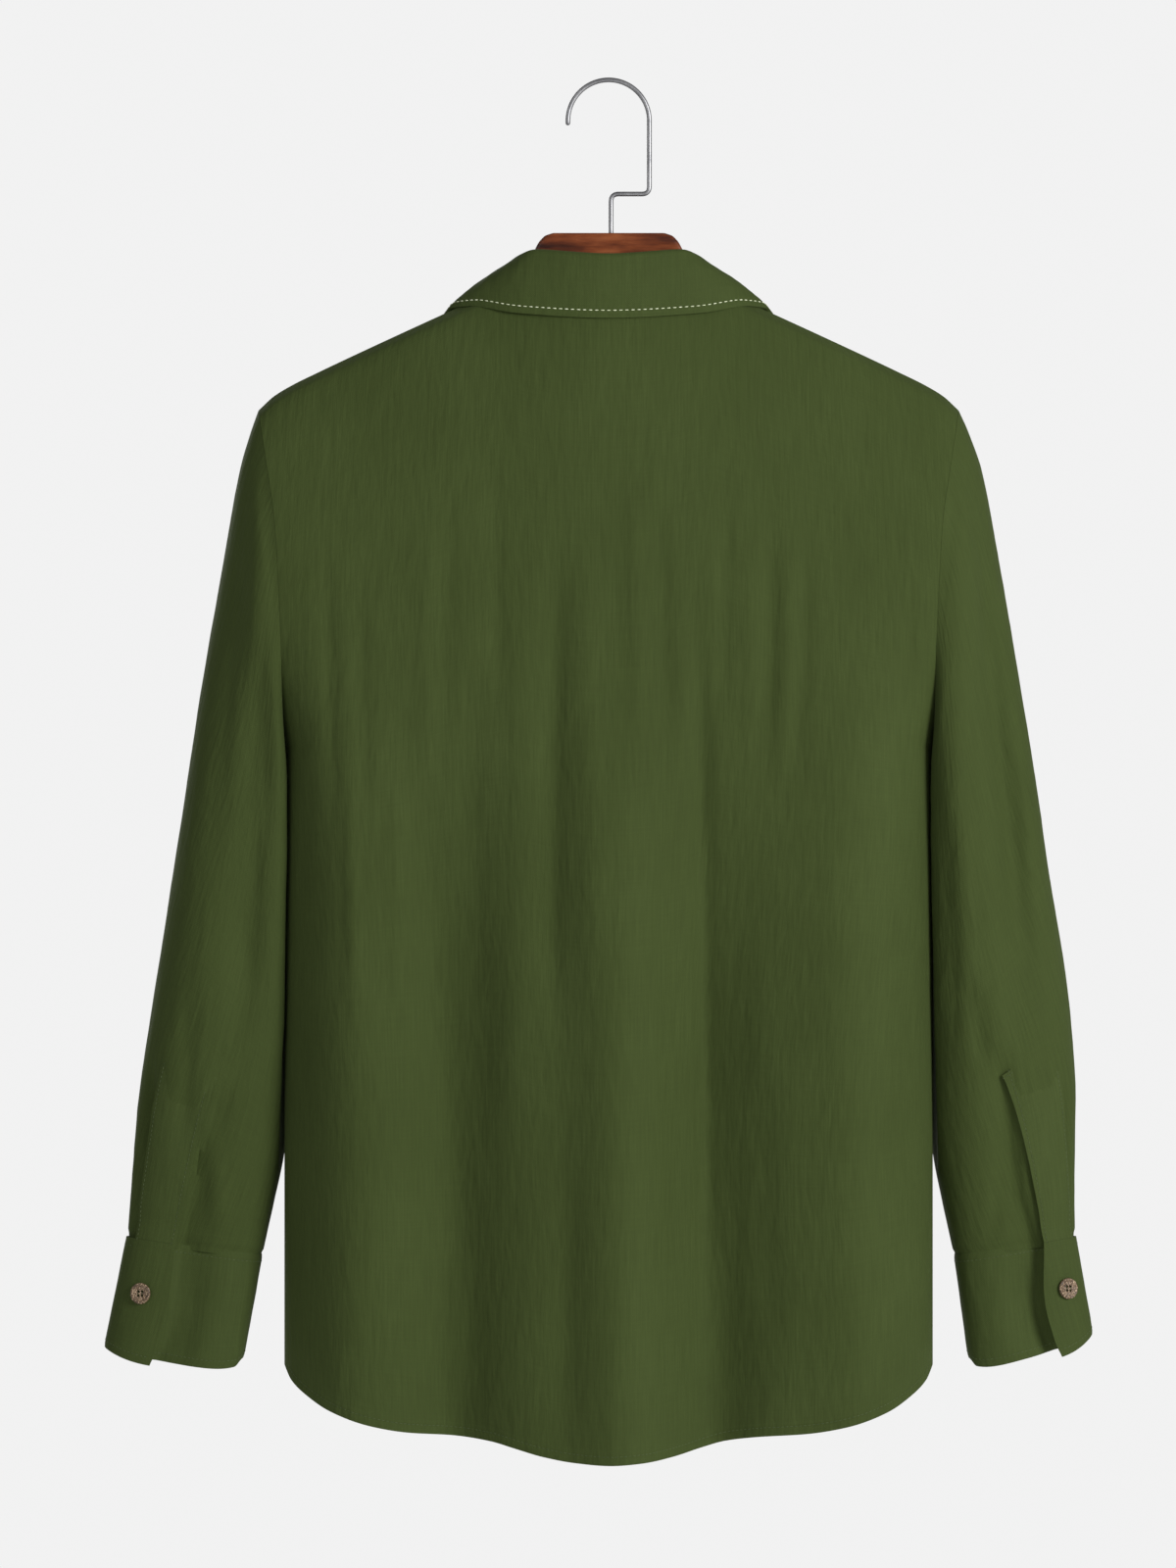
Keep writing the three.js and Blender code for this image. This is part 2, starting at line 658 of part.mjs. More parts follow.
function collarFall() {
  const turns = steps(COLLAR_COLUMNS).map((t) => lerp(-COLLAR_END_TURN, COLLAR_END_TURN, t));
  const { start, centre, height, radius } = COLLAR_ROLL;
  const roll = COLLAR_ROLL_TURNS.map((angle) => [
    centre + radius * Math.cos(radians(angle)),
    height + radius * Math.sin(radians(angle)),
  ]);
  const section = [[centre - radius, start], ...roll];
  const sections = turns.map((turn) => {
    const top = foldAt(turn);
    const away = awayFromNeck(turn);
    const edge = edgeAt(turn);
    const rolled = section.map(([out, up]) => top.clone().addScaledVector(away, out).add(vec(0, 0, up)));
    const crest = rolled[rolled.length - 1];
    const fall = COLLAR_FALL_STEPS.map((t) => {
      const share = 4 * t * (1 - t);
      const { out, up } = COLLAR_FALL_BULGE;
      return crest.clone().lerp(edge, t).addScaledVector(away, out * share).add(vec(0, 0, up * share));
    });
    return [...rolled, ...fall];
  });
  const grid = sections[0].map((_, i) => sections.map((points) => points[i]));
  return wall(grid, innerGrid(grid, COLLAR_WALL, { sign: -1 }));
}

// Round the neck seam: the back of the neck at 0, the neck points at 90, the front at 180.
function neckSeam(turn) {
  const angle = Math.abs(turn);
  const face = angle <= 90 ? 1 : -1;
  const x = NECK_HALF_WIDTH * Math.sin(radians(angle));
  const z = neckZ(x, face);
  const depth = Math.max(halfDepth(shoulderZ(Math.abs(x)) - z), HALF_SEAM_GAP);
  return vec(Math.sign(turn) * x, face * depth, z + SEAM_GAP);
}

function standPoint(turn, up) {
  const over = smooth(turn, STAND.liftFrom, STAND.liftFull) * STAND.lift;
  const wrapped = Math.abs(turn) > 180 ? turn - 360 : turn;
  const p = neckSeam(wrapped).lerp(foldAt(wrapped), up);
  return p.add(vec(0, -over, 0));
}

// Its columns fall on those of the panels below, and the left end laps over the right one by a column.
function collarStand() {
  const quarter = neckFractions.map((t) => THREE.MathUtils.radToDeg(Math.asin(t)));
  const half = [...quarter, ...quarter.slice(0, -1).reverse().map((turn) => 180 - turn)];
  const lap = 180 + quarter[1];
  const turns = [...half.slice(1).reverse().map((turn) => -turn), ...half, lap];
  const grid = steps(STAND.rows).map((t) => turns.map((turn) => standPoint(turn, 1 - t)));
  const keep = (p, outer, row) => (row === STAND.rows ? vec(p.x, p.y, outer.z) : p);
  return wall(grid, innerGrid(grid, COLLAR_WALL, { sign: -1, keep }));
}

// Buttons

function button() {
  const { radius, footRadius, thickness, waist, rimWidth, rimRound, dish, sides } = BUTTON;
  const inside = radius - rimWidth;
  const profile = [
    [0, 0],
    [footRadius, 0],
    [radius, waist],
    [radius - rimWidth / 3, thickness],
    [inside, thickness - rimRound],
    [inside - dish, thickness - dish],
    [0, thickness - dish],
  ];
  return new THREE.LatheGeometry(profile.map(([x, y]) => new THREE.Vector2(x, y)), sides);
}

// Lays a button on a surface that is given as a function of two values, over a patch of the button's size,
// on the side that faces away in Y.
function seatButton(mesh, surface, [u, v], [spanU, spanV], face) {
  const at = (i, j) => surface(u + i * spanU, v + j * spanV);
  const seat = at(0, 0);
  const away = at(1, 0).sub(at(-1, 0)).cross(at(0, 1).sub(at(0, -1))).normalize();
  if (away.y * face < 0) away.negate();
  const patch = [-1, 0, 1].flatMap((i) => [-1, 0, 1].map((j) => at(i, j).sub(seat).dot(away)));
  mesh.quaternion.setFromUnitVectors(vec(0, 1, 0), away);
  mesh.position.copy(seat).addScaledVector(away, Math.max(...patch) + BUTTON_SEAT);
}

// Hanger and hook

function hanger() {
  const half = HANGER_HUMP.map(({ x, z }) => [x, z]);
  const under = (x) => shoulderZ(x) - HANGER.underCloth;
  const armTops = HANGER.armAt.map((x) => [x, under(x)]);
  const top = [...half, ...armTops];
  const bottom = HANGER.lowerEdge.map(({ x, z }) => [x, z]);
  const right = [...top, ...bottom];
  const outline = [...right, ...right.map(([x, z]) => [-x, z]).reverse()];
  const shape = new THREE.Shape(outline.map(([x, z]) => new THREE.Vector2(x, z)));
  const { halfThickness, bevel } = HANGER;
  const body = new THREE.ExtrudeGeometry(shape, {
    depth: 2 * (halfThickness - bevel),
    bevelThickness: bevel,
    bevelSize: bevel,
    bevelOffset: -bevel,
    bevelSegments: 2,
  });
  body.translate(0, 0, -(halfThickness - bevel));
  body.rotateX(Math.PI / 2);
  return body;
}

function hookPath() {
  const { archRadius, archCentreZ, archEndDrop, stemX, stemEndZ, jogZ, bend } = HOOK;
  const sideX = -archRadius;
  const path = new THREE.CurvePath();
  const line = (a, b) => path.add(new THREE.LineCurve3(a, b));
  const corner = (a, b, c) => path.add(new THREE.QuadraticBezierCurve3(a, b, c));
  line(vec(stemX, 0, stemEndZ), vec(stemX, 0, jogZ - bend));
  corner(vec(stemX, 0, jogZ - bend), vec(stemX, 0, jogZ), vec(stemX - bend, 0, jogZ));
  line(vec(stemX - bend, 0, jogZ), vec(sideX + bend, 0, jogZ));
  corner(vec(sideX + bend, 0, jogZ), vec(sideX, 0, jogZ), vec(sideX, 0, jogZ + bend));
  line(vec(sideX, 0, jogZ + bend), vec(sideX, 0, archCentreZ));
  const arch = new THREE.Curve();
  arch.getPoint = (t, target = new THREE.Vector3()) => {
    const angle = Math.PI * (1 - t);
    return target.set(archRadius * Math.cos(angle), 0, archCentreZ + archRadius * Math.sin(angle));
  };
  path.add(arch);
  line(vec(archRadius, 0, archCentreZ), vec(archRadius, 0, archCentreZ - archEndDrop));
  return path;
}

function hook() {
  const onWire = (angle) => new THREE.Vector2(Math.cos(angle), Math.sin(angle)).multiplyScalar(HOOK.wire);
  const angles = steps(HOOK.sides).slice(1).map((t) => 2 * Math.PI * t);
  const section = new THREE.Shape(angles.map(onWire));
  return new THREE.ExtrudeGeometry(section, { steps: HOOK.steps, extrudePath: hookPath() });
}

// Cuts

const wasm = await Module();
wasm.setup();

function toSolid(geometry) {
  const bare = geometry.clone();
  for (const name of Object.keys(bare.attributes)) if (name !== 'position') bare.deleteAttribute(name);
  const merged = mergeVertices(bare, WELD);
  return new wasm.Manifold(
    new wasm.Mesh({
      numProp: 3,
      vertProperties: new Float32Array(merged.attributes.position.array),
      triVerts: new Uint32Array(merged.index.array),
    }),
  );
}

function toGeometry(solid) {
  const mesh = solid.getMesh();
  const geometry = new THREE.BufferGeometry();
  geometry.setAttribute('position', new THREE.Float32BufferAttribute(mesh.vertProperties, 3));
  geometry.setIndex([...mesh.triVerts]);
  return geometry;
}

function drilledHanger() {
  const radius = HOOK.wire + HOOK.holeClearance;
  const depth = HOOK.drillLength;
  const hole = new THREE.CylinderGeometry(radius, radius, depth, HOOK.holeSides);
  hole.rotateX(Math.PI / 2);
  hole.translate(HOOK.stemX, 0, HOOK.stemEndZ - HOOK.holeClearance + depth / 2);
  return toGeometry(toSolid(hanger()).subtract(toSolid(hole)));
}

// Assembly

const MATERIALS = {
  cloth: new THREE.MeshStandardMaterial({ color: 0x424d29, roughness: 0.9, metalness: 0 }),
  wood: new THREE.MeshStandardMaterial({ color: 0x6b2f1a, roughness: 0.35, metalness: 0 }),
  steel: new THREE.MeshStandardMaterial({ color: 0x9a9a9a, roughness: 0.3, metalness: 1 }),
  shell: new THREE.MeshStandardMaterial({ color: 0x6e5436, roughness: 0.5, metalness: 0 }),
};

const shirt = new THREE.Group();

function add(name, geometry, material) {
  const mesh = new THREE.Mesh(geometry, MATERIALS[material]);
  mesh.name = name;
  shirt.add(mesh);
  return mesh;
}

add('back', backPanel(), 'cloth');
add('collar', collarFall(), 'cloth');
add('collar_stand', collarStand(), 'cloth');
add('front_placket', frontStrip(), 'cloth');
for (const side of Object.keys(SIDES)) {
  add(`front_${side}`, frontPanel(side), 'cloth');
  add(`sleeve_${side}`, sleeve(side), 'cloth');
  add(`placket_${side}`, sleeveStrip(side), 'cloth');
  add(`cuff_${side}`, cuff(side), 'cloth');
}

for (let i = 0; i < FRONT_BUTTONS.count; i += 1) {
  const z = FRONT_BUTTONS.firstZ - i * FRONT_BUTTONS.pitch;
  const fall = (FRONT_NECK_Z - z) / (FRONT_NECK_Z - frontHemZ(0));
  const edgeZ = lerp(SHOULDER_TIP_Z, SIDE_HEM_Z, fall);
  const strip = (share, height) => bodyPoint(share, height, -1, STRIP_LIFT);
  const mesh = add(`button_front_${i + 1}`, button(), 'shell');
  seatButton(mesh, strip, [0, edgeZ], [BUTTON.radius / BODY_EDGE[0].x, BUTTON.radius], -1);
}

const collarUp = (COLLAR_BUTTON_Z - FRONT_NECK_Z) / (foldAt(180).z - FRONT_NECK_Z);
seatButton(add('button_collar', button(), 'shell'), standPoint, [180, collarUp], COLLAR_BUTTON_SPAN, -1);

for (const side of Object.keys(SIDES)) {
  const tab = (turn, down) => cuffPoint(side, down, turn, CUFF.lift);
  const mesh = add(`button_cuff_${side}`, button(), 'shell');
  seatButton(mesh, tab, [CUFFS[side].buttonTurn, 0.5], CUFF_BUTTON_SPAN, 1);
}

add('hanger', drilledHanger(), 'wood');
add('hook', hook(), 'steel');

export default shirt;
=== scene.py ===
"""A long-sleeve shirt in olive green crinkled linen, hanging open and empty on a wooden hanger.

The back of the shirt faces +Y and the wearer's left side is +X. Shapes are worked out in millimetres from
the same named sizes as the solids, as grids of points, and turned into metres when a mesh is made.
"""

import logging
import math
from dataclasses import dataclass, field
from enum import Enum
from typing import Callable, Sequence, Union

import bpy
import numpy as np
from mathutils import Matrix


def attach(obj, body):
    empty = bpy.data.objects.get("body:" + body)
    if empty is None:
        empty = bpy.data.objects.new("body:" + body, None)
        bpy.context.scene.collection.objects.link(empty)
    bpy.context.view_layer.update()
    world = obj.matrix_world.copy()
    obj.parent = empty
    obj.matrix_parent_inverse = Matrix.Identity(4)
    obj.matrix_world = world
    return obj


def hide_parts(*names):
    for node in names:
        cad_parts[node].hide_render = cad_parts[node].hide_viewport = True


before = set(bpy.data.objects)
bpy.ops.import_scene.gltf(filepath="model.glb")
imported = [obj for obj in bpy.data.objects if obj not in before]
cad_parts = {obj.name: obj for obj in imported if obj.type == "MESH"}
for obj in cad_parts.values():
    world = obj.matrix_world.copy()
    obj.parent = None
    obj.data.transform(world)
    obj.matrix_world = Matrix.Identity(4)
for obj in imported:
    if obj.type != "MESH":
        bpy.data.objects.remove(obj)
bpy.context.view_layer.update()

LOG = logging.getLogger("shirt")
MM = 0.001
BODY = "root"
UP = np.array([0.0, 0.0, 1.0])
SHARP_FROM = math.radians(55)
NOISE_CELLS = 64
CAP_RINGS = 3
Array = np.ndarray
Value = Union[float, Array]
Pair = tuple[float, float]
Triple = tuple[float, float, float]
Relief = Callable[[Array, Array], Array]
Piece = bpy.types.Object
Socket = bpy.types.NodeSocket


class Side(Enum):
    """The wearer's two sides, as the sign of X."""

    LEFT = 1
    RIGHT = -1

    @property
    def label(self) -> str:
        """The word that ends the names of this side's pieces."""
        return self.name.lower()


class Face(Enum):
    """The two faces of the body, as the sign of Y."""

    BACK = 1
    FRONT = -1


class Finish(Enum):
    """The finishes, by the name of their material."""

    LINEN = "linen_soft"
    PRESSED = "linen_pressed"
    SELF_THREAD = "thread_olive"
    PALE_THREAD = "thread_pale"
    COCONUT = "coconut_shell"
    WOOD = "varnished_hardwood"
    STEEL = "satin_wire"
    FLOOR = "floor_pale"


# Numbers


def lerp(a: Value, b: Value, t: Value) -> Value:
    """The value a share t of the way from a to b."""
    return a + (b - a) * t


def smooth(x: Value, start: float, end: float) -> Value:
    """A step that eases from 0 at start to 1 at end."""
    t = np.clip((x - start) / (end - start), 0.0, 1.0)
    return t * t * (3 - 2 * t)


def bell(x: Value, width: float) -> Value:
    """A bump of height 1 at x = 0 that falls off over the width."""
    return np.exp(-((x / width) ** 2))


def unit(vectors: Array) -> Array:
    """The vectors at length 1."""
    return vectors / np.maximum(np.linalg.norm(vectors, axis=-1, keepdims=True), 1e-9)


def crowded(count: int, crowding: float) -> Array:
    """Shares from 0 to 1 whose steps grow shorter towards 1."""
    return np.sin(crowding * np.linspace(0, 1, count + 1)) / math.sin(crowding)


class TableCurve:
    """A smooth curve through the rows of a short table that never swings past a row's value."""

    def __init__(self, rows: Sequence[Pair], level: bool = False) -> None:
        """Sets the curve up.

        Args:
            rows: pairs of place and value.
            level: whether it starts flat, so that its mirror image joins it without a kink.
        """
        self.at, self.value = np.array(sorted(rows), dtype=float).T
        slope = np.diff(self.value) / np.diff(self.at)
        turning = slope[:-1] * slope[1:] <= 0
        total = np.where(turning, 1.0, slope[:-1] + slope[1:])
        middle = np.where(turning, 0.0, 2 * slope[:-1] * slope[1:] / total)
        self.tangent = np.concatenate([[0.0 if level else slope[0]], middle, [slope[-1]]])

    def __call__(self, x: Value) -> Array:
        """The curve's value at each x; beyond its ends it keeps its end values."""
        x = np.clip(x, self.at[0], self.at[-1])
        i = np.clip(np.searchsorted(self.at, x, side="left") - 1, 0, len(self.at) - 2)
        width = self.at[i + 1] - self.at[i]
        t = (x - self.at[i]) / width
        value = self.value[i] * (1 + 2 * t) * (1 - t) ** 2 + self.value[i + 1] * t**2 * (3 - 2 * t)
        return value + width * (self.tangent[i] * t * (1 - t) ** 2 + self.tangent[i + 1] * t**2 * (t - 1))


class LatticeNoise:
    """Smooth noise from a seeded lattice of values between 0 and 1, which repeats after its period."""

    def __init__(self, seed: int, period: int = NOISE_CELLS) -> None:
        """Draws the lattice."""
        self.period = period
        self.values = np.random.default_rng(seed).random((period, NOISE_CELLS))

    def __call__(self, u: Array, v: Array) -> Array:
        """The noise at u, v in lattice cells."""
        i, j = np.floor(u).astype(int), np.floor(v).astype(int)
        s, t = smooth(u - i, 0, 1), smooth(v - j, 0, 1)

        def corner(a: int, b: int) -> Array:
            """The lattice's value at a corner of each cell."""
            return self.values[(i + a) % self.period, (j + b) % NOISE_CELLS]

        return lerp(lerp(corner(0, 0), corner(1, 0), s), lerp(corner(0, 1), corner(1, 1), s), t)


# Relief of the cloth


@dataclass(frozen=True)
class Crease:
    """A soft trough (negative rise) or ridge in the cloth, along points of X and Z from top to bottom."""

    path: tuple[Pair, ...]
    width: float
    rise: float
    lean: float = 0.0
    fade: float = 0.3

    def at(self, x: Array, z: Array) -> Array:
        """How far the cloth stands out here.

        Args:
            x: places across, in millimetres.
            z: heights, in millimetres.

        Returns:
            The rise at each place. A lean above 0 makes the +X flank the steeper one.
        """
        points = np.array(self.path)
        lengths = np.linalg.norm(np.diff(points, axis=0), axis=1)
        along = np.concatenate([[0.0], np.cumsum(lengths)]) / lengths.sum()
        best = np.full(x.shape, np.inf)
        offset, share = np.zeros(x.shape), np.zeros(x.shape)
        for k, (a, b) in enumerate(zip(points, points[1:])):
            way = (b - a) / lengths[k]
            t = np.clip((x - a[0]) * way[0] + (z - a[1]) * way[1], 0, lengths[k])
            dx, dz = x - a[0] - t * way[0], z - a[1] - t * way[1]
            distance = np.hypot(dx, dz)
            nearer = distance < best
            best = np.where(nearer, distance, best)
            offset = np.where(nearer, distance * np.sign(dx), offset)
            share = np.where(nearer, lerp(along[k], along[k + 1], t / lengths[k]), share)
        width = self.width * (1 - self.lean * np.sign(offset))
        ends = smooth(share, 0, self.fade) * (1 - smooth(share, 1 - self.fade, 1))
        return self.rise * ends * bell(offset, width)


@dataclass(frozen=True)
class Crinkle:
    """The fine crumple of washed linen: ridged noise in cells that are longer down the cloth than across."""

    seed: int
    cell: float = 13.0
    stretch: float = 3.4
    rise: float = 0.85
    octaves: int = 3
    slant: float = 0.22
    middle: float = 0.4

    def at(self, across: Array, down: Array, around: float = 0.0) -> Array:
        """How far the cloth stands out here.

        Args:
            across: places across the cloth, in millimetres.
            down: places down the cloth, in millimetres.
            around: on a tube, its way round in millimetres, over which the pattern closes on itself.

        Returns:
            The rise at each place, on average about 0.
        """
        total = np.zeros(np.broadcast(across, down).shape)
        cell, rise = self.cell, self.rise
        for octave in range(self.octaves):
            period = max(4, round(around / cell)) if around else NOISE_CELLS
            width = around / period if around else cell
            noise = LatticeNoise(self.seed + octave, period)
            drift = 0.0 if around else self.slant * down / self.stretch
            ridge = 1 - np.abs(2 * noise((across + drift) / width, down / (cell * self.stretch)) - 1)
            total = total + rise * (ridge**2 - self.middle)
            cell, rise = cell / 2, rise / 2
        return total


# Meshes


def new_object(name: str, data: bpy.types.ID) -> Piece:
    """Makes an object and puts it in the scene."""
    obj = bpy.data.objects.new(name, data)
    bpy.context.scene.collection.objects.link(obj)
    return obj


def evaluated_mesh(obj: Piece) -> bpy.types.Mesh:
    """A plain mesh of the object with its modifier at work."""
    graph = bpy.context.evaluated_depsgraph_get()
    return bpy.data.meshes.new_from_object(obj.evaluated_get(graph), depsgraph=graph)


def drilled(obj: Piece, drill: Piece) -> bpy.types.Mesh:
    """The object's mesh with holes in it.

    Args:
        obj: what is drilled.
        drill: the shape of the holes, which is removed afterwards.

    Returns:
        The new mesh.
    """
    cut = obj.modifiers.new("holes", "BOOLEAN")
    cut.operation, cut.solver, cut.object = "DIFFERENCE", "EXACT", drill
    mesh = evaluated_mesh(obj)
    obj.modifiers.clear()
    bpy.data.objects.remove(drill)
    return mesh


def signed_volume(points: Array, faces: Array) -> float:
    """Six times the volume inside closed four-cornered faces, above 0 where they point out."""
    a, b, c, d = (points[faces[:, k]] for k in range(4))
    return np.einsum("ij,ij->i", a, np.cross(b, c) + np.cross(c, d)).sum()


@dataclass
class MeshParts:
    """Points, faces and their places on the flat cloth, gathered for one mesh."""

    points: list[Array] = field(default_factory=list)
    faces: list[Array] = field(default_factory=list)
    places: list[Array] = field(default_factory=list)
    count: int = 0

    def add(self, points: Array, faces: Array, places: Array) -> None:
        """Adds points in millimetres, four-cornered faces and a place (u, v) for each face's corner."""
        self.points.append(points)
        self.faces.append(faces + self.count)
        self.places.append(places)
        self.count += len(points)

    def build(self, name: str) -> Piece:
        """Makes the object, smooth shaded, with its UV map in metres of cloth.

        Args:
            name: the object's name.

        Returns:
            The new object, at the origin.
        """
        points, faces = np.concatenate(self.points) * MM, np.concatenate(self.faces)
        places = np.concatenate(self.places)
        mesh = bpy.data.meshes.new(name)
        mesh.from_pydata(points.tolist(), [], [tuple(dict.fromkeys(face)) for face in faces.tolist()])
        layer = mesh.uv_layers.new(name="UVMap")
        kept = np.concatenate([[True] * 3 + [len(set(face)) == 4] for face in faces.tolist()])
        layer.data.foreach_set("uv", (places.reshape(-1, 2)[kept] * MM).ravel())
        mesh.polygons.foreach_set("use_smooth", [True] * len(mesh.polygons))
        mesh.validate()
        mesh.set_sharp_from_angle(angle=SHARP_FROM)
        return new_object(name, mesh)


def grid_normals(grid: Array, ringed: bool) -> Array:
    """The direction that stands square on the cloth at each point of a grid.

    Args:
        grid: rows of points.
        ringed: whether each row closes on itself.

    Returns:
        A unit vector for each point: the way across times the way down.
    """
    if ringed:
        across = np.roll(grid, -1, axis=1) - np.roll(grid, 1, axis=1)
    else:
        padded = np.concatenate([grid[:, :1], grid, grid[:, -1:]], axis=1)
        across = padded[:, 2:] - padded[:, :-2]
    padded = np.concatenate([grid[:1], grid, grid[-1:]], axis=0)
    return unit(np.cross(across, padded[2:] - padded[:-2]))


def cloth_places(grid: Array, ringed: bool) -> Array:
    """Each point's place on the flat cloth, from the lengths along the grid's rows and columns.

    Args:
        grid: rows of points.
        ringed: whether each row closes on itself, which gives one more place a row.

    Returns:
        A pair of millimetres across and up for each point.
    """
    closed = np.concatenate([grid, grid[:, :1]], axis=1) if ringed else grid
    middle = closed.shape[1] // 2
    steps = np.linalg.norm(np.diff(closed, axis=1), axis=2)
    across = np.concatenate([np.zeros((len(grid), 1)), np.cumsum(steps, axis=1)], axis=1)
    across -= across[:, middle : middle + 1]
    falls = np.linalg.norm(np.diff(closed[:, middle], axis=0), axis=1)
    down = np.concatenate([[0.0], np.cumsum(falls)])
    return np.stack([across, np.broadcast_to(-down[:, None], across.shape)], axis=2)


def wall_parts(outer: Array, inner: Array, ringed: bool = False) -> MeshParts:
    """A closed thin wall between an outer and an inner grid of points.

    Args:
        outer: rows of points of the outer side.
        inner: the same rows on the inner side.
        ringed: whether each row closes on itself.

    Returns:
        Its points and faces, with the faces pointing out.
    """
    rows, columns = outer.shape[:2]
    half = rows * columns
    index = np.arange(half).reshape(rows, columns)
    places = cloth_places(outer, ringed)
    if ringed:
        index = np.concatenate([index, index[:, :1]], axis=1)

    def quads(a: Array, place: Array) -> tuple[Array, Array]:
        """The faces between a grid's points, with their places."""
        corners = [(0, 0), (1, 0), (1, 1), (0, 1)]
        ends = (a.shape[0] - 1, a.shape[1] - 1)
        cut = [(slice(i, ends[0] + i), slice(j, ends[1] + j)) for i, j in corners]
        faces = np.stack([a[c] for c in cut], axis=-1).reshape(-1, 4)
        return faces, np.stack([place[c] for c in cut], axis=2).reshape(-1, 4, 2)

    def rim(edge: Array, place: Array, flip: bool) -> tuple[Array, Array]:
        """The band that joins the two sides along an edge."""
        band, spots = quads(np.stack([edge, edge + half]), np.stack([place, place + [0.0, 1.0]]))
        return (band[:, ::-1], spots[:, ::-1]) if flip else (band, spots)

    faces, spots = quads(index, places)
    sets = [(faces, spots), (faces[:, ::-1] + half, spots[:, ::-1])]
    sets += [rim(index[0], places[0], True), rim(index[-1], places[-1], False)]
    if not ringed:
        sets += [rim(index[:, 0], places[:, 0], False), rim(index[:, -1], places[:, -1], True)]
    faces = np.concatenate([s[0] for s in sets])
    spots = np.concatenate([s[1] for s in sets])
    points = np.concatenate([outer.reshape(-1, 3), inner.reshape(-1, 3)])
    if signed_volume(points, faces) < 0:
        faces, spots = faces[:, ::-1], spots[:, ::-1]
    parts = MeshParts()
    parts.add(points, faces, spots)
    return parts


def tube_parts(path: Array, radius: Value, sides: int = 12) -> MeshParts:
    """A round rod along a path, with round ends.

    Args:
        path: points in millimetres.
        radius: its radius, one value or one for each point.
        sides: how many sides it has.

    Returns:
        Its points and faces, with the faces pointing out.
    """
    radii = np.broadcast_to(radius, len(path)).astype(float)
    ends = np.sin(np.linspace(0, math.pi / 2, CAP_RINGS + 2))[1:-1]
    first, last = unit(path[0] - path[1]), unit(path[-1] - path[-2])
    caps = np.sqrt(1 - ends**2)
    head = [path[0] + first * radii[0] * c for c in caps]
    tail = [path[-1] + last * radii[-1] * c for c in caps[::-1]]
    head_radii, tail_radii = radii[0] * ends, radii[-1] * ends[::-1]
    points = np.concatenate([head, path, tail])
    radii = np.concatenate([head_radii, radii, tail_radii])
    tangent = unit(np.gradient(points, axis=0))
    side = np.cross(tangent[0], [0.0, 1.0, 0.0] if abs(tangent[0][1]) < 0.9 else [1.0, 0.0, 0.0])
    rings = []
    turns = np.linspace(0, 2 * math.pi, sides, endpoint=False)
    for point, way, r in zip(points, tangent, radii):
        side = unit(side - way * np.dot(side, way))
        other = np.cross(way, side)
        rings.append(point + r * (np.cos(turns)[:, None] * side + np.sin(turns)[:, None] * other))
    grid = np.array(rings)
    tips = np.array([path[0] + first * radii[len(ends)], path[-1] + last * radii[-len(ends) - 1]])
    return capped_parts(grid, tips)


def capped_parts(grid: Array, tips: Array) -> MeshParts:
    """A closed body of rings with a point at each end.

    Args:
        grid: rings of points.
        tips: the two end points.

    Returns:
        Its points and faces, with the faces pointing out.
    """
    rows, columns = grid.shape[:2]
    index = np.arange(rows * columns).reshape(rows, columns)
    index = np.concatenate([index, index[:, :1]], axis=1)
    faces = np.stack([index[:-1, :-1], index[1:, :-1], index[1:, 1:], index[:-1, 1:]], axis=-1).reshape(-1, 4)
    first, last = rows * columns, rows * columns + 1
    fans = [[first, a, b, b] for a, b in zip(index[0, :-1], index[0, 1:])]
    fans += [[last, b, a, a] for a, b in zip(index[-1, :-1], index[-1, 1:])]
    faces = np.concatenate([faces, np.array(fans)])
    points = np.concatenate([grid.reshape(-1, 3), tips])
    if signed_volume(points, faces) < 0:
        faces = np.concatenate([faces[: -len(fans), ::-1], faces[-len(fans) :][:, [0, 2, 1, 1]]])
    turns = np.concatenate([np.tile(np.linspace(0, 1, columns, endpoint=False), rows), [0, 0]])
    lengths = np.concatenate([np.repeat(np.arange(rows), columns), [0, rows]])
    places = np.stack([turns * columns, lengths], axis=1)
    parts = MeshParts()
    parts.add(points, faces, places[faces])
    return parts


def move_parts(parts: MeshParts, turn: Array, place: Array) -> MeshParts:
    """A copy of the parts, turned by a 3 by 3 matrix and then moved."""
    points = [p @ turn.T + place for p in parts.points]
    return MeshParts(points, list(parts.faces), list(parts.places), parts.count)


# The body's surface


@dataclass(frozen=True)
class Fold:
    """A long fold of the body: where it runs at the hem, its lean, width, rise and upper end."""

    x: float
    lean: float
    width: float
    rise: float
    start: float


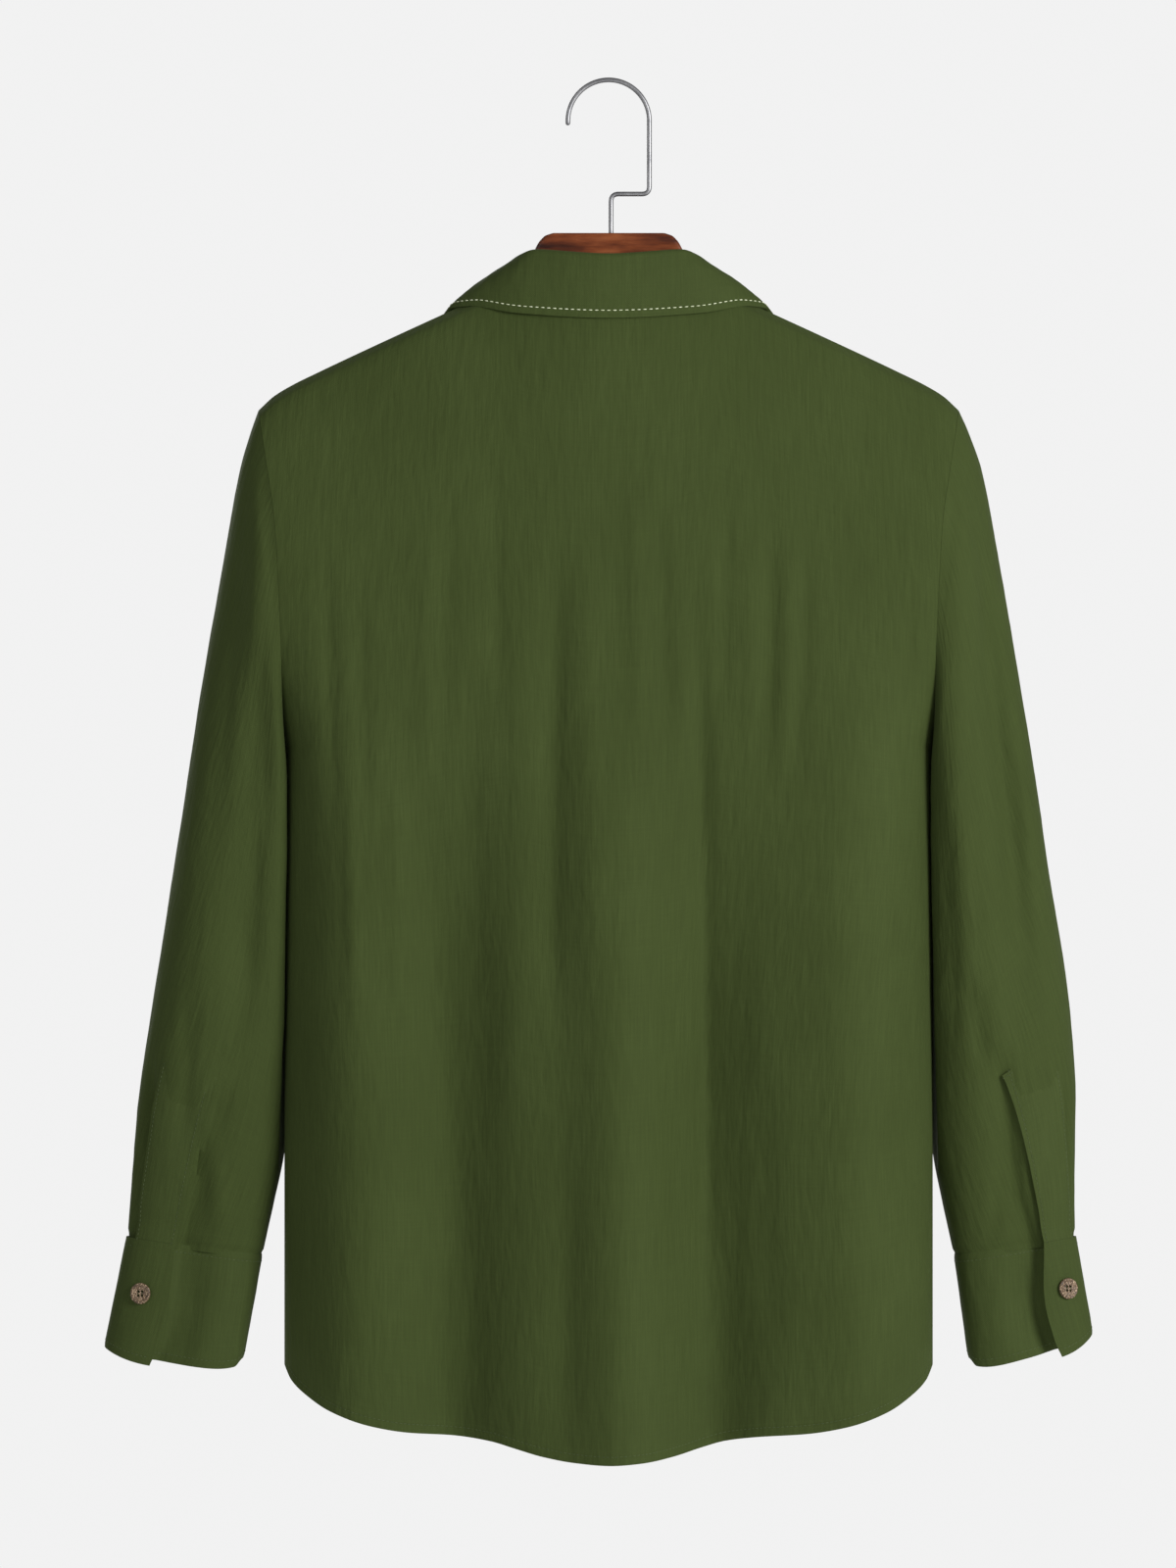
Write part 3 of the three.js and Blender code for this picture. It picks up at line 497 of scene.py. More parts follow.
@dataclass(frozen=True)
class BodyShape:
    """The body of the shirt as a surface: its outlines, depths and folds, in millimetres."""

    tip_z: float = -217.5
    armpit_z: float = -440
    side_hem_z: float = -850
    neck_half_width: float = 74
    neck_point_z: float = -137.6
    back_neck_z: float = -151
    front_neck_z: float = -205
    neck_roundness: float = 2.4
    tip_x: float = 232
    side_x: float = 215
    half_seam: float = 0.2
    corner_round: float = 3
    corner_square: float = 10
    corner_length: float = 110
    fold_full_below: float = 330
    fold_gain: float = 1.58
    fold_side_power: float = 10
    relief_side_power: float = 14
    relief_drop: Pair = (3, 22)
    shoulder: TableCurve = TableCurve(
        [(0, -104), (74, -137.6), (126, -161.3), (160, -177), (193, -192.6), (210, -201), (222, -208.3),
         (232, -217.5)],
        level=True,
    )
    edge: TableCurve = TableCurve(
        [(-217.5, 232), (-261, 225), (-292, 220.5), (-335, 217.8), (-380, 216), (-440, 215), (-860, 215)]
    )
    half_depth: TableCurve = TableCurve(
        [(0, 0.2), (6, 11), (20, 18), (50, 28), (110, 42), (220, 53), (400, 58), (820, 62)]
    )
    back_hem: TableCurve = TableCurve(
        [(0, -913), (22, -911.6), (43, -908), (61, -903), (78, -898.4), (100, -895.4), (131, -893),
         (157, -888.4), (184, -879), (200, -869), (210, -859.8), (215, -850)],
        level=True,
    )
    front_hem: TableCurve = TableCurve(
        [(0, -900), (90, -896), (140, -889), (180, -876), (202, -864), (215, -850)], level=True
    )
    back_folds: tuple[Fold, ...] = (
        Fold(174, 4, 30, 6, -330),
        Fold(102, 12, 28, -13, -360),
        Fold(46, -4, 18, 1.5, -240),
        Fold(-8, 4, 36, 12.5, -300),
        Fold(-68, 4, 30, -14, -390),
        Fold(-176, 8, 44, 14, -330),
    )
    front_folds: tuple[Fold, ...] = (
        Fold(158, 8, 30, 8, -320),
        Fold(104, 6, 30, -9, -360),
        Fold(52, 0, 28, 6, -300),
        Fold(-58, 0, 30, 8, -320),
        Fold(-112, -6, 28, -9, -400),
        Fold(-164, -8, 30, 7, -340),
    )

    def neck_z(self, x: Array, face: Value) -> Array:
        """The height of the neck seam."""
        middle = np.where(face > 0, self.back_neck_z, self.front_neck_z)
        share = np.minimum(np.abs(x) / self.neck_half_width, 1) ** self.neck_roundness
        return middle + (self.neck_point_z - middle) * share

    def top_z(self, x: Array, face: Value) -> Array:
        """The height of a panel's top edge: the neck seam, then the shoulder line."""
        inside = np.abs(x) < self.neck_half_width
        return np.where(inside, self.neck_z(x, face), self.shoulder(np.abs(x)))

    def side_closed(self, edge_z: Array) -> Array:
        """How far the side is closed: 0 at the shoulder tip, 1 from the armpit down."""
        return np.clip((self.tip_z - edge_z) / (self.tip_z - self.armpit_z), 0, 1) ** 3

    def side_power(self, edge_z: Array) -> Array:
        """How square the closed side is."""
        spread = np.exp(-np.maximum(self.armpit_z - edge_z, 0) / self.corner_length)
        return self.corner_round + (self.corner_square - self.corner_round) * spread

    def fold_rise(self, folds: Sequence[Fold], x: Array, z: Array, share: Array) -> Array:
        """How far the long folds lift the cloth.

        Args:
            folds: the face's folds.
            x: places across.
            z: heights.
            share: from 0 in the middle to 1 at the side, where the folds die out.

        Returns:
            The rise at each place.
        """
        rise = np.zeros(np.broadcast(x, z).shape)
        for fold in folds:
            grown = smooth(-z, -fold.start, -fold.start + self.fold_full_below)
            centre = fold.x + fold.lean * smooth(z, self.side_hem_z, fold.start)
            rise = rise + fold.rise * grown * bell(x - centre, fold.width)
        return rise * self.fold_gain * (1 - share**self.fold_side_power)

    def point(self, share: Array, edge_z: Array, face: Value, lift: Value = 0.0,
              relief: Relief | None = None) -> Array:
        """Points of the body.

        Args:
            share: from -1 to 1 across the body.
            edge_z: the height of the point's row at the side.
            face: 1 for the back, -1 for the front.
            lift: how far the cloth stands off the surface.
            relief: a further rise at each X and Z, which fades out at the seams.

        Returns:
            An array of points.
        """
        share, edge_z, face = np.broadcast_arrays(share, edge_z, face)
        fall = (self.tip_z - edge_z) / (self.tip_z - self.side_hem_z)
        hem = np.where(face > 0, self.back_hem(np.abs(share) * self.side_x),
                       self.front_hem(np.abs(share) * self.side_x))
        z = lerp(self.top_z(share * self.tip_x, face), hem, fall)
        x = share * self.edge(edge_z)
        size = np.abs(share)
        round_off = np.sqrt(np.maximum(1 - self.side_closed(edge_z) * size ** self.side_power(edge_z), 0))
        drop = np.maximum(self.shoulder(np.abs(x)) - z, 0)
        fold = np.where(face > 0, self.fold_rise(self.back_folds, x, z, size),
                        self.fold_rise(self.front_folds, x, z, size))
        if relief is not None:
            faded = (1 - size**self.relief_side_power) * smooth(drop, *self.relief_drop)
            fold = fold + relief(x, z) * faded
        y = face * (np.maximum(self.half_depth(drop) * round_off + fold, self.half_seam) + lift)
        return np.stack([x, y, z], axis=-1)

    def half_width(self, y: Array, z: Array) -> Array:
        """The body's half width at a depth and height near its side."""
        edge_x = self.edge(z)
        depth = self.half_depth(np.maximum(self.shoulder(edge_x) - z, 0))
        share = np.minimum(np.abs(y) / depth, 1)
        rest = (1 - share**2) / np.maximum(self.side_closed(z), 1e-6)
        return edge_x * np.minimum(rest ** (1 / self.side_power(z)), 1)


SHAPE = BodyShape()


# Cloth pieces


@dataclass(frozen=True)
class Cut:
    """A cloth piece's flat size before it was sewn: width and length in metres, area in square metres."""

    size: Pair
    area: float | None = None


def dress(obj: Piece, finish: Finish, nodes: Sequence[str] = ()) -> None:
    """Gives a piece its material, its body and the solids that it stands for.

    Args:
        obj: the piece.
        finish: which finish it has.
        nodes: the solids that it replaces.
    """
    obj.data.materials.clear()
    obj.data.materials.append(bpy.data.materials[finish.value])
    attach(obj, BODY)
    if nodes:
        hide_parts(*nodes)
    LOG.info("%s: %d faces, %s", obj.name, len(obj.data.polygons), finish.value)


@dataclass(frozen=True)
class TurnedHem:
    """The rise of a turned-up hem: a band, a groove where it is sewn and a rounded edge, in millimetres."""

    width: float = 7.0
    rise: float = 0.45
    ease_in: float = 0.8
    ease_out: float = 1.6
    sewn_in: float = 1.2
    groove_width: float = 1.1
    groove_share: float = 0.9
    edge_width: float = 1.0
    edge_share: float = 0.6

    def rise_at(self, grid: Array) -> Array:
        """The rise at each point of a grid whose last row is the hem's edge."""
        steps = np.linalg.norm(np.diff(grid, axis=0), axis=2)
        away = np.concatenate([np.cumsum(steps[::-1], axis=0)[::-1], np.zeros((1, grid.shape[1]))])
        band = 1 - smooth(away, self.width - self.ease_in, self.width + self.ease_out)
        groove = bell(away - self.width + self.sewn_in, self.groove_width)
        edge = bell(away, self.edge_width)
        return self.rise * (band - self.groove_share * groove - self.edge_share * edge)


HEM = TurnedHem()


@dataclass(frozen=True)
class ShirtBody:
    """The back, the two fronts and the strip down the front that carries the buttonholes."""

    wall: float = 0.9
    strip_wall: float = 0.9
    front_lift: float = 2.2
    front_lap_ease: Pair = (1.4, 3)
    strip_lift: float = 3.8
    strip_relief: float = 0.5
    strip_columns: int = 12
    overlap_columns: int = 6
    crowding: float = 1.5
    pattern_shift: float = 300
    neck_columns: int = 24
    shoulder_columns: int = 60
    armhole_rows: int = 84
    side_rows: int = 128
    hem_rows: int = 14
    hem_height: float = 14
    overlap: float = 16.5
    back_cut: Cut = Cut((0.55, 0.80), 0.375)
    front_cut: Cut = Cut((0.30, 0.79), 0.19)
    strip_cut: Cut = Cut((0.035, 0.72))
    back_creases: tuple[Crease, ...] = (
        Crease(((-57, -300), (-61, -470), (-63, -700), (-60, -885)), 7, -4.5, 0.2),
        Crease(((57, -290), (60, -420), (61, -560), (64, -720)), 10, 1.2, 0.2),
        Crease(((33, -285), (36, -430), (37, -560), (34, -660)), 9, -3.6, -0.2),
        Crease(((12, -270), (14, -420), (12, -640)), 10, 2.0),
        Crease(((88, -360), (90, -480), (84, -620), (78, -760)), 12, -2.6),
        Crease(((-78, -265), (-77, -340), (-74, -440)), 4.5, -1.6),
        Crease(((-92, -300), (-94, -380), (-90, -470)), 5, 1.3),
        Crease(((-108, -270), (-107, -350), (-104, -455)), 4.5, -1.7),
        Crease(((-131, -290), (-129, -370), (-124, -470)), 5, -1.6),
        Crease(((-119, -300), (-117, -400), (-112, -480)), 5, 1.4),
        Crease(((-199, -320), (-198, -400), (-196, -520)), 5, -1.6),
        Crease(((-207, -470), (-206, -560), (-204, -700)), 5, 1.8),
        Crease(((-186, -440), (-182, -560), (-178, -700)), 8, 1.8),
        Crease(((186, -300), (184, -380), (181, -500)), 5, -1.8),
        Crease(((163, -330), (162, -420), (160, -500)), 5, -1.5),
        Crease(((172, -450), (169, -540), (166, -640)), 5.5, 1.8),
        Crease(((142, -440), (139, -530), (137, -640)), 5.5, 1.8),
        Crease(((103, -250), (106, -340), (108, -460)), 6, -1.2),
        Crease(((120, -280), (121, -380), (118, -500)), 6, 1.2),
        Crease(((76, -240), (74, -330), (70, -420)), 5, -1.4),
        Crease(((-16, -250), (-18, -350), (-22, -470)), 6, 1.3),
        Crease(((-34, -260), (-36, -360), (-40, -460)), 5, -1.2),
        Crease(((-30, -560), (-32, -680), (-36, -800)), 7, 1.5),
        Crease(((205, -430), (206, -560), (204, -720)), 7, -2.2),
        Crease(((-100, -640), (-104, -740), (-108, -860)), 9, -1.8),
        Crease(((30, -700), (27, -790), (30, -890)), 9, -1.6),
        Crease(((98, -760), (101, -820), (99, -890)), 8, 1.4),
    )
    front_creases: tuple[Crease, ...] = (
        Crease(((60, -280), (66, -430), (70, -600), (68, -760)), 9, -3.2, 0.2),
        Crease(((36, -300), (40, -450), (43, -640)), 8, 2.2),
        Crease(((96, -260), (99, -360), (100, -500)), 6, -1.8),
        Crease(((134, -300), (137, -420), (135, -560)), 6, 1.8),
        Crease(((178, -330), (181, -450), (184, -600)), 7, -2.0),
        Crease(((-42, -290), (-47, -450), (-49, -680)), 9, -3.0, -0.2),
        Crease(((-78, -300), (-82, -420), (-84, -560)), 6, 1.6),
        Crease(((-128, -270), (-130, -390), (-136, -560)), 6, -1.8),
        Crease(((-150, -420), (-154, -560), (-152, -720)), 8, 2.0),
        Crease(((-187, -300), (-190, -430), (-192, -600)), 6, -1.8),
    )
    crinkle: Crinkle = Crinkle(seed=11, rise=0.3)

    @property
    def overlap_share(self) -> float:
        """How far a front reaches past the middle, as a share of the body's half width."""
        return self.overlap / SHAPE.tip_x

    def rows(self) -> Array:
        """The heights of the rows at the side, from the shoulder tip to the hem."""
        turns = np.linspace(0, math.pi, self.armhole_rows + 1)
        upper = lerp(SHAPE.tip_z, SHAPE.armpit_z, (1 - np.cos(turns)) / 2)
        hem_start = SHAPE.side_hem_z + self.hem_height
        lower = np.linspace(SHAPE.armpit_z, hem_start, self.side_rows + 1)[1:]
        hem = np.linspace(hem_start, SHAPE.side_hem_z, self.hem_rows + 1)[1:]
        return np.concatenate([upper, lower, hem])

    def half_shares(self) -> Array:
        """The columns of one half, from the middle to the side."""
        neck = SHAPE.neck_half_width / SHAPE.tip_x
        inside = np.linspace(0, 1, self.neck_columns + 1) * neck
        outside = lerp(neck, 1.0, crowded(self.shoulder_columns, self.crowding))[1:]
        return np.concatenate([inside, outside])

    def relief(self, face: Face) -> Relief:
        """The creases and crinkle of one face."""
        creases = self.back_creases if face is Face.BACK else self.front_creases

        def rise(x: Array, z: Array) -> Array:
            """The rise at each X and Z."""
            total = self.crinkle.at(x + self.pattern_shift * face.value, z)
            for crease in creases:
                total = total + crease.at(x, z)
            return total

        return rise

    def panel(self, name: str, shares: Array, face: Face, lift: Callable[[Array], Array]) -> Piece:
        """Builds a panel over the given columns.

        Args:
            name: the piece's name.
            shares: its columns, from one edge to the other.
            face: back or front.
            lift: how far each column stands off the surface.

        Returns:
            The panel's object.
        """
        share, edge_z = np.meshgrid(shares, self.rows())
        relief = self.relief(face)
        grid = SHAPE.point(share, edge_z, face.value, lift(share), relief)
        grid[..., 1] += face.value * HEM.rise_at(grid) * (1 - np.abs(share) ** SHAPE.relief_side_power)
        normals = grid_normals(grid, False)
        inward = normals * -np.sign(normals[..., 1:2].mean() * face.value)
        inner = grid + inward * self.wall
        limit = SHAPE.edge(inner[..., 2])
        inner[..., 0] = np.clip(inner[..., 0], -limit, limit)
        inner[..., 1] = face.value * np.maximum(face.value * inner[..., 1], SHAPE.half_seam)
        inner[0, :, 2] = np.minimum(inner[0, :, 2], grid[0, :, 2])
        return wall_parts(grid, inner).build(name)

    def left_lift(self, share: Array) -> Array:
        """The left front stands off where it laps over the right one."""
        start, end = (self.overlap_share * ease for ease in self.front_lap_ease)
        return self.front_lift * (1 - smooth(share, start, end))

    def build(self) -> None:
        """Builds and dresses the back, the fronts and the front strip."""
        half = self.half_shares()
        both = np.concatenate([-half[:0:-1], half])
        back = self.panel("shirt_back", both, Face.BACK, np.zeros_like)
        dress(back, Finish.LINEN, ["back"])
        overlap = np.linspace(-self.overlap_share, 0, self.overlap_columns + 1)[:-1]
        for side in Side:
            shares = np.concatenate([overlap, half]) * side.value
            lift = self.left_lift if side is Side.LEFT else np.zeros_like
            front = self.panel(f"shirt_front_{side.label}", shares, Face.FRONT, lift)
            dress(front, Finish.LINEN, [f"front_{side.label}"])
        self.build_strip()

    def strip_grid(self) -> Array:
        """The outer points of the front strip."""
        shares = np.linspace(-self.overlap_share, self.overlap_share, self.strip_columns + 1)
        share, edge_z = np.meshgrid(shares, self.rows())
        relief = self.relief(Face.FRONT)
        return SHAPE.point(share, edge_z, Face.FRONT.value, self.strip_lift,
                           lambda x, z: self.strip_relief * relief(x, z))

    def build_strip(self) -> None:
        """Builds the strip down the front edge."""
        grid = self.strip_grid()
        inner = grid + np.array([0, self.strip_wall, 0])
        strip = wall_parts(grid, inner).build("shirt_front_strip")
        dress(strip, Finish.PRESSED, ["front_placket"])


# Sleeves and cuffs


@dataclass(frozen=True)
class TubeFold:
    """A fold along a sleeve: its turn round it, width in degrees, rise, start and end."""

    turn: float
    width: float
    rise: float
    start: float
    end: float


@dataclass(frozen=True)
class CuffShape:
    """A cuff's corners as seen from behind, as X and Z, and the turns at which its tab and its strip lie."""

    outer_top: Pair
    inner_top: Pair
    outer_end: Pair
    inner_end: Pair
    tab_edge: TableCurve
    corner_drop: float
    button_turn: float
    strip_end_turns: Pair
    tilt: float


def bulge(value: Array, power: float) -> Array:
    """The cosine or sine of a turn, squared off."""
    return np.sign(value) * np.abs(value) ** (2 / power)


@dataclass(frozen=True)
class Sleeve:
    """A sleeve with the strip above its cuff, and the cuff with its button tab."""

    side: Side
    outer: tuple[Pair, ...]
    inner: tuple[Pair, ...]
    cuff: CuffShape
    folds: tuple[TubeFold, ...]
    creases: tuple[Crease, ...]
    strip_troughs: tuple[Crease, ...]
    wall: float = 0.9
    cuff_wall: float = 1.0
    seam_gap: float = 0.15
    squareness: float = 2.6
    clearance: float = 3.2
    rings: int = 200
    columns: int = 120
    tuck: float = 1.0
    strip_lifts: Pair = (-0.9, 1.38)
    strip_walls: Pair = (0.3, 0.9)
    strip_from: float = 0.745
    strip_to: float = 0.9998
    strip_flush_from: float = 0.955
    cuff_share: float = 7.6
    strip_top_turns: Pair = (47, 90)
    under_turn: float = 30
    cuff_lift: float = 1.3
    lift_from: float = -12
    lift_full: float = 24
    edge_sag: float = 5.0
    corner_round: float = 3.6
    trough: float = 8.5
    trough_out: float = 5.0
    trough_widths: Pair = (6.0, 16.0)
    trough_shares: Pair = (0.7, 1.1)
    tuck_from: float = 0.991
    fold_ease: float = 0.2
    settled_at: float = 0.5
    clear_from: float = 0.1
    ring_crowding: float = 1.08
    end_along: float = 1.008
    lift_way: Triple = (0.6, 1.6, 0.6)
    crinkle_rise: float = 0.32
    calm_inside: float = 0.7
    calm_width: float = 30
    calm_end: Pair = (0.97, 0.998)
    relief_start: Pair = (0.004, 0.06)
    crease_back: float = 2.6
    crease_ease: Pair = (-0.1, 0.5)
    strip_lift_power: float = 0.8
    strip_wall_power: float = 0.6
    strip_tilt_ease: Pair = (0.05, 0.6)
    tilt_turns: Pair = (15, 80)
    sag_lean: float = 0.3
    corner_from: float = 0.88
    side_push: float = 0.5
    edge_roll: float = 0.55
    edge_roll_rows: float = 0.8
    flat_rows: int = 3
    cuff_soft_rows: Pair = (1, 6)
    length: float = 560
    around: float = 310
    depth: TableCurve = TableCurve([(0, 40), (0.12, 47), (0.3, 52), (0.6, 47), (0.85, 36), (1, 24)])
    forward: TableCurve = TableCurve([(0, 0), (0.12, 5), (0.3, 14), (0.6, 17), (0.85, 13), (1, 10)])
    sleeve_cut: Cut = Cut((0.36, 0.60), 0.175)
    strip_cut: Cut = Cut((0.027, 0.11))
    cuff_cut: Cut = Cut((0.27, 0.075))

    def armhole(self, turn: Array) -> Array:
        """The armhole's edge on the body, on the +X side."""
        angle = np.where(turn <= 180, turn, 360 - turn)
        face = np.where(turn <= 180, 1, -1)
        edge_z = lerp(SHAPE.tip_z, SHAPE.armpit_z, (1 - np.cos(np.radians(angle))) / 2)
        return SHAPE.point(np.ones_like(edge_z), edge_z, face)

    def oval(self, along: Array, turn: Array) -> Array:
        """The sleeve's section, before it is settled on the armhole.

        Args:
            along: from 0 at the armhole to 1 at the cuff.
            turn: degrees round the sleeve.

        Returns:
            An array of points, as on the +X side.
        """
        outer_z = lerp(SHAPE.tip_z, self.outer[-1][0], along)
        inner_z = lerp(SHAPE.armpit_z, self.inner[-1][0], along)
        power = lerp(2.0, self.squareness, along)
        out, back = bulge(np.cos(np.radians(turn)), power), bulge(np.sin(np.radians(turn)), power)
        depth = self.depth(along)
        for fold in self.folds:
            span = smooth(along, fold.start, fold.start + self.fold_ease)
            span = span * (1 - smooth(along, fold.end - self.fold_ease, fold.end))
            apart = np.abs((turn - fold.turn + 540) % 360 - 180)
            depth = depth + fold.rise * span * bell(apart, fold.width)
        across = (1 + out) / 2
        x = lerp(TableCurve(self.inner)(inner_z), TableCurve(self.outer)(outer_z), across)
        return np.stack([x, depth * back - self.forward(along), lerp(inner_z, outer_z, across)], axis=-1)

    def centre(self, along: Array, turn: Array) -> Array:
        """The middle of the sleeve's section under each point."""
        return (self.oval(along, np.zeros_like(turn)) + self.oval(along, np.full_like(turn, 180))) / 2

    def point(self, along: Array, turn: Array, lift: Value | None = None) -> Array:
        """Points of the sleeve's outer surface.

        Args:
            along: from 0 at the armhole to 1 at the cuff.
            turn: degrees round the sleeve, 0 outside, 90 at the back and 180 next to the body.
            lift: how far a layer on it stands off, which isn't tucked into the cuff.

        Returns:
            An array of points on this sleeve's own side.
        """
        along, turn = np.broadcast_arrays(np.asarray(along, float), np.asarray(turn, float) % 360)
        p = self.oval(along, turn)
        settle = (1 - np.minimum(along / self.settled_at, 1)) ** 2
        p = p + settle[..., None] * (self.armhole(turn) - self.oval(np.zeros_like(along), turn))
        creases = self.creases if lift is not None else (*self.creases, *self.strip_troughs)
        p = p + self.relief(along, turn, p, creases)
        clearance = self.clearance * smooth(along, 0, self.clear_from)
        clear = SHAPE.half_width(p[..., 1], p[..., 2]) + clearance
        p[..., 0] = np.where(along > 0, np.maximum(p[..., 0], clear), p[..., 0])
        p[..., 0] += self.seam_gap
        if lift is not None:
            height = lift + self.tucked(along)
            p = p + height[..., None] * unit((p - self.centre(along, turn)) * self.lift_way)
        return p * [self.side.value, 1, 1]

    def tucked(self, along: Array) -> Array:
        """How far the sleeve's end is pinched in to go into the cuff."""
        return self.tuck * smooth(along, self.tuck_from, 1.0)

    def relief(self, along: Array, turn: Array, p: Array, creases: Sequence[Crease]) -> Array:
        """The creases, the crinkle and the pinched end, as a move away from the sleeve's middle.

        Args:
            along: from 0 at the armhole to 1 at the cuff.
            turn: degrees round the sleeve.
            p: the points, as on the +X side.
            creases: those to apply.

        Returns:
            How far each point moves.
        """
        away = unit((p - self.centre(along, turn)) * [1, 1, 0])
        crinkle = Crinkle(seed=31 + self.side.value, rise=self.crinkle_rise)
        rise = crinkle.at(turn / 360 * self.around, along * self.length, self.around)
        rise = rise * (1 - self.calm_inside * bell(turn - 180, self.calm_width))
        rise = rise * (1 - smooth(along, *self.calm_end))
        x = p[..., 0] * self.side.value
        start = smooth(along, *self.relief_start)
        depth = sum(crease.at(x, p[..., 2]) for crease in creases)
        backward = unit(away * [1, self.crease_back, 0]) * smooth(away[..., 1:2], *self.crease_ease)
        pinched = rise * start - self.tucked(along)
        return away * pinched[..., None] + backward * (depth * start)[..., None]

    def build(self) -> None:
        """Builds and dresses the sleeve, its strip and its cuff."""
        label = self.side.label
        turns = np.linspace(0, 360, self.columns, endpoint=False)
        alongs = np.linspace(0, 1, self.rings + 1) ** self.ring_crowding * self.end_along
        turn, along = np.meshgrid(turns, alongs)
        grid = self.point(along, turn)
        inward = self.inward(grid, True)
        inner = grid + inward * self.wall
        inner[0, :, 0] = self.side.value * (SHAPE.edge(inner[0, :, 2]) + self.seam_gap)
        sleeve = wall_parts(grid, inner, True).build(f"shirt_sleeve_{label}")
        dress(sleeve, Finish.LINEN, [f"sleeve_{label}"])
        self.build_strip()
        self.build_cuff()

    def inward(self, grid: Array, ringed: bool) -> Array:
        """The grid's normals, all turned towards the sleeve's inside."""
        normals = grid_normals(grid, ringed)
        middle = grid.mean(axis=1, keepdims=True)
        return normals * (1 if (normals * (middle - grid)).sum() > 0 else -1)

    def strip_grid(self, rows: int = 48, columns: int = 14) -> Array:
        """The outer points of the strip above the cuff."""
        down, across = np.meshgrid(np.linspace(0, 1, rows + 1), np.linspace(0, 1, columns + 1), indexing="ij")
        along = lerp(self.strip_from, self.strip_to, down)
        start = lerp(self.strip_top_turns[0], self.cuff.strip_end_turns[0], down)
        end = lerp(self.strip_top_turns[1], self.cuff.strip_end_turns[1], down)
        turn = lerp(start, end, across)
        tilt = self.cuff.tilt * across * smooth(down, *self.strip_tilt_ease)
        loose = self.point(along, turn, lerp(*self.strip_lifts, down**self.strip_lift_power) + tilt)
        flush = self.cuff_point((along - 1) * self.cuff_share, turn, self.tab_lift(turn))
        return lerp(loose, flush, smooth(along, self.strip_flush_from, 0.999)[..., None])

    def build_strip(self) -> None:
        """Builds the strip above the cuff."""
        grid = self.strip_grid()
        normals = grid_normals(grid, False)
        down = np.linspace(0, 1, len(grid))[:, None, None]
        wall = lerp(*self.strip_walls, down**self.strip_wall_power)
        inner = grid - normals * np.sign(normals[..., 1:2].mean()) * wall
        strip = wall_parts(grid, inner).build(f"shirt_sleeve_strip_{self.side.label}")
        dress(strip, Finish.PRESSED, [f"placket_{self.side.label}"])

    def cuff_point(self, down: Array, turn: Array, lift: Value) -> Array:
        """Points of the cuff's outer surface.

        Args:
            down: from 0 at its seam to 1 at its end.
            turn: degrees round the sleeve.
            lift: how far the layer stands off.

        Returns:
            An array of points on this sleeve's own side.
        """
        down, turn, lift = np.broadcast_arrays(down, turn, lift)
        c = self.cuff
        outer = lerp(np.array(c.outer_top), np.array(c.outer_end), down[..., None])
        inner = lerp(np.array(c.inner_top), np.array(c.inner_end), down[..., None])
        out = bulge(np.cos(np.radians(turn)), self.squareness)
        back = bulge(np.sin(np.radians(turn)), self.squareness)
        way = unit(outer - inner)
        flat = lerp(inner, outer, ((1 + out) / 2)[..., None])
        y = self.depth(1.0) * back - self.forward(1.0)
        sag = self.edge_sag * (1 - out**4) * (1 - self.sag_lean * out)
        sag = sag - self.corner_round * smooth(-out, self.corner_from, 1.0)
        drop = down * (sag + c.corner_drop * smooth(turn, 0, c.tab_edge(1.0)))
        p = np.stack([flat[..., 0] + self.seam_gap, y, flat[..., 1] - drop], axis=-1)
        side = out * self.side_push
        push = np.stack([way[..., 0] * side, back, way[..., 1] * side], axis=-1)
        return (p + unit(push) * lift[..., None]) * [self.side.value, 1, 1]

    def tab_lift(self, turn: Array) -> Array:
        """How far the cuff's top layer stands off, more towards the tab's edge where the tab tilts."""
        even = self.cuff_lift * smooth(turn, self.lift_from, self.lift_full)
        return even + self.cuff.tilt * smooth(turn, *self.tilt_turns)

    def cuff_grid(self, rows: int = 30, columns: int = 132) -> Array:
        """The outer points of the cuff, from the end of its top layer round to the end of its under layer."""
        down, across = np.meshgrid(np.linspace(0, 1, rows + 1), np.linspace(0, 1, columns + 1), indexing="ij")
        edge = self.cuff.tab_edge(down)
        turn = lerp(edge, self.under_turn - 360, across)
        apart = turn + 360 - edge - self.trough_out
        trough = self.trough * bell(apart, np.where(apart > 0, *self.trough_widths[::-1]))
        return self.cuff_point(down, turn, self.tab_lift(turn) - trough * lerp(*self.trough_shares, down))

    def build_cuff(self) -> None:
        """Builds the cuff, a little rolled in at its edges."""
        grid = self.cuff_grid()
        inward = self.inward(grid, False)
        away = np.minimum(np.arange(len(grid)), np.arange(len(grid))[::-1])[:, None, None]
        crinkle = Crinkle(seed=51 + self.side.value, rise=0.3, octaves=2)
        places = cloth_places(grid, False)
        soft = crinkle.at(places[..., 0], places[..., 1])[..., None]
        roll = np.full(grid.shape[:2] + (1,), self.edge_roll)
        roll[: self.flat_rows, : grid.shape[1] // 3] = 0.0
        roll = roll * bell(away, self.edge_roll_rows)
        grid = grid + inward * (roll - soft * smooth(away, *self.cuff_soft_rows))
        cuff = wall_parts(grid, grid + inward * self.cuff_wall).build(f"shirt_cuff_{self.side.label}")
        dress(cuff, Finish.PRESSED, [f"cuff_{self.side.label}"])


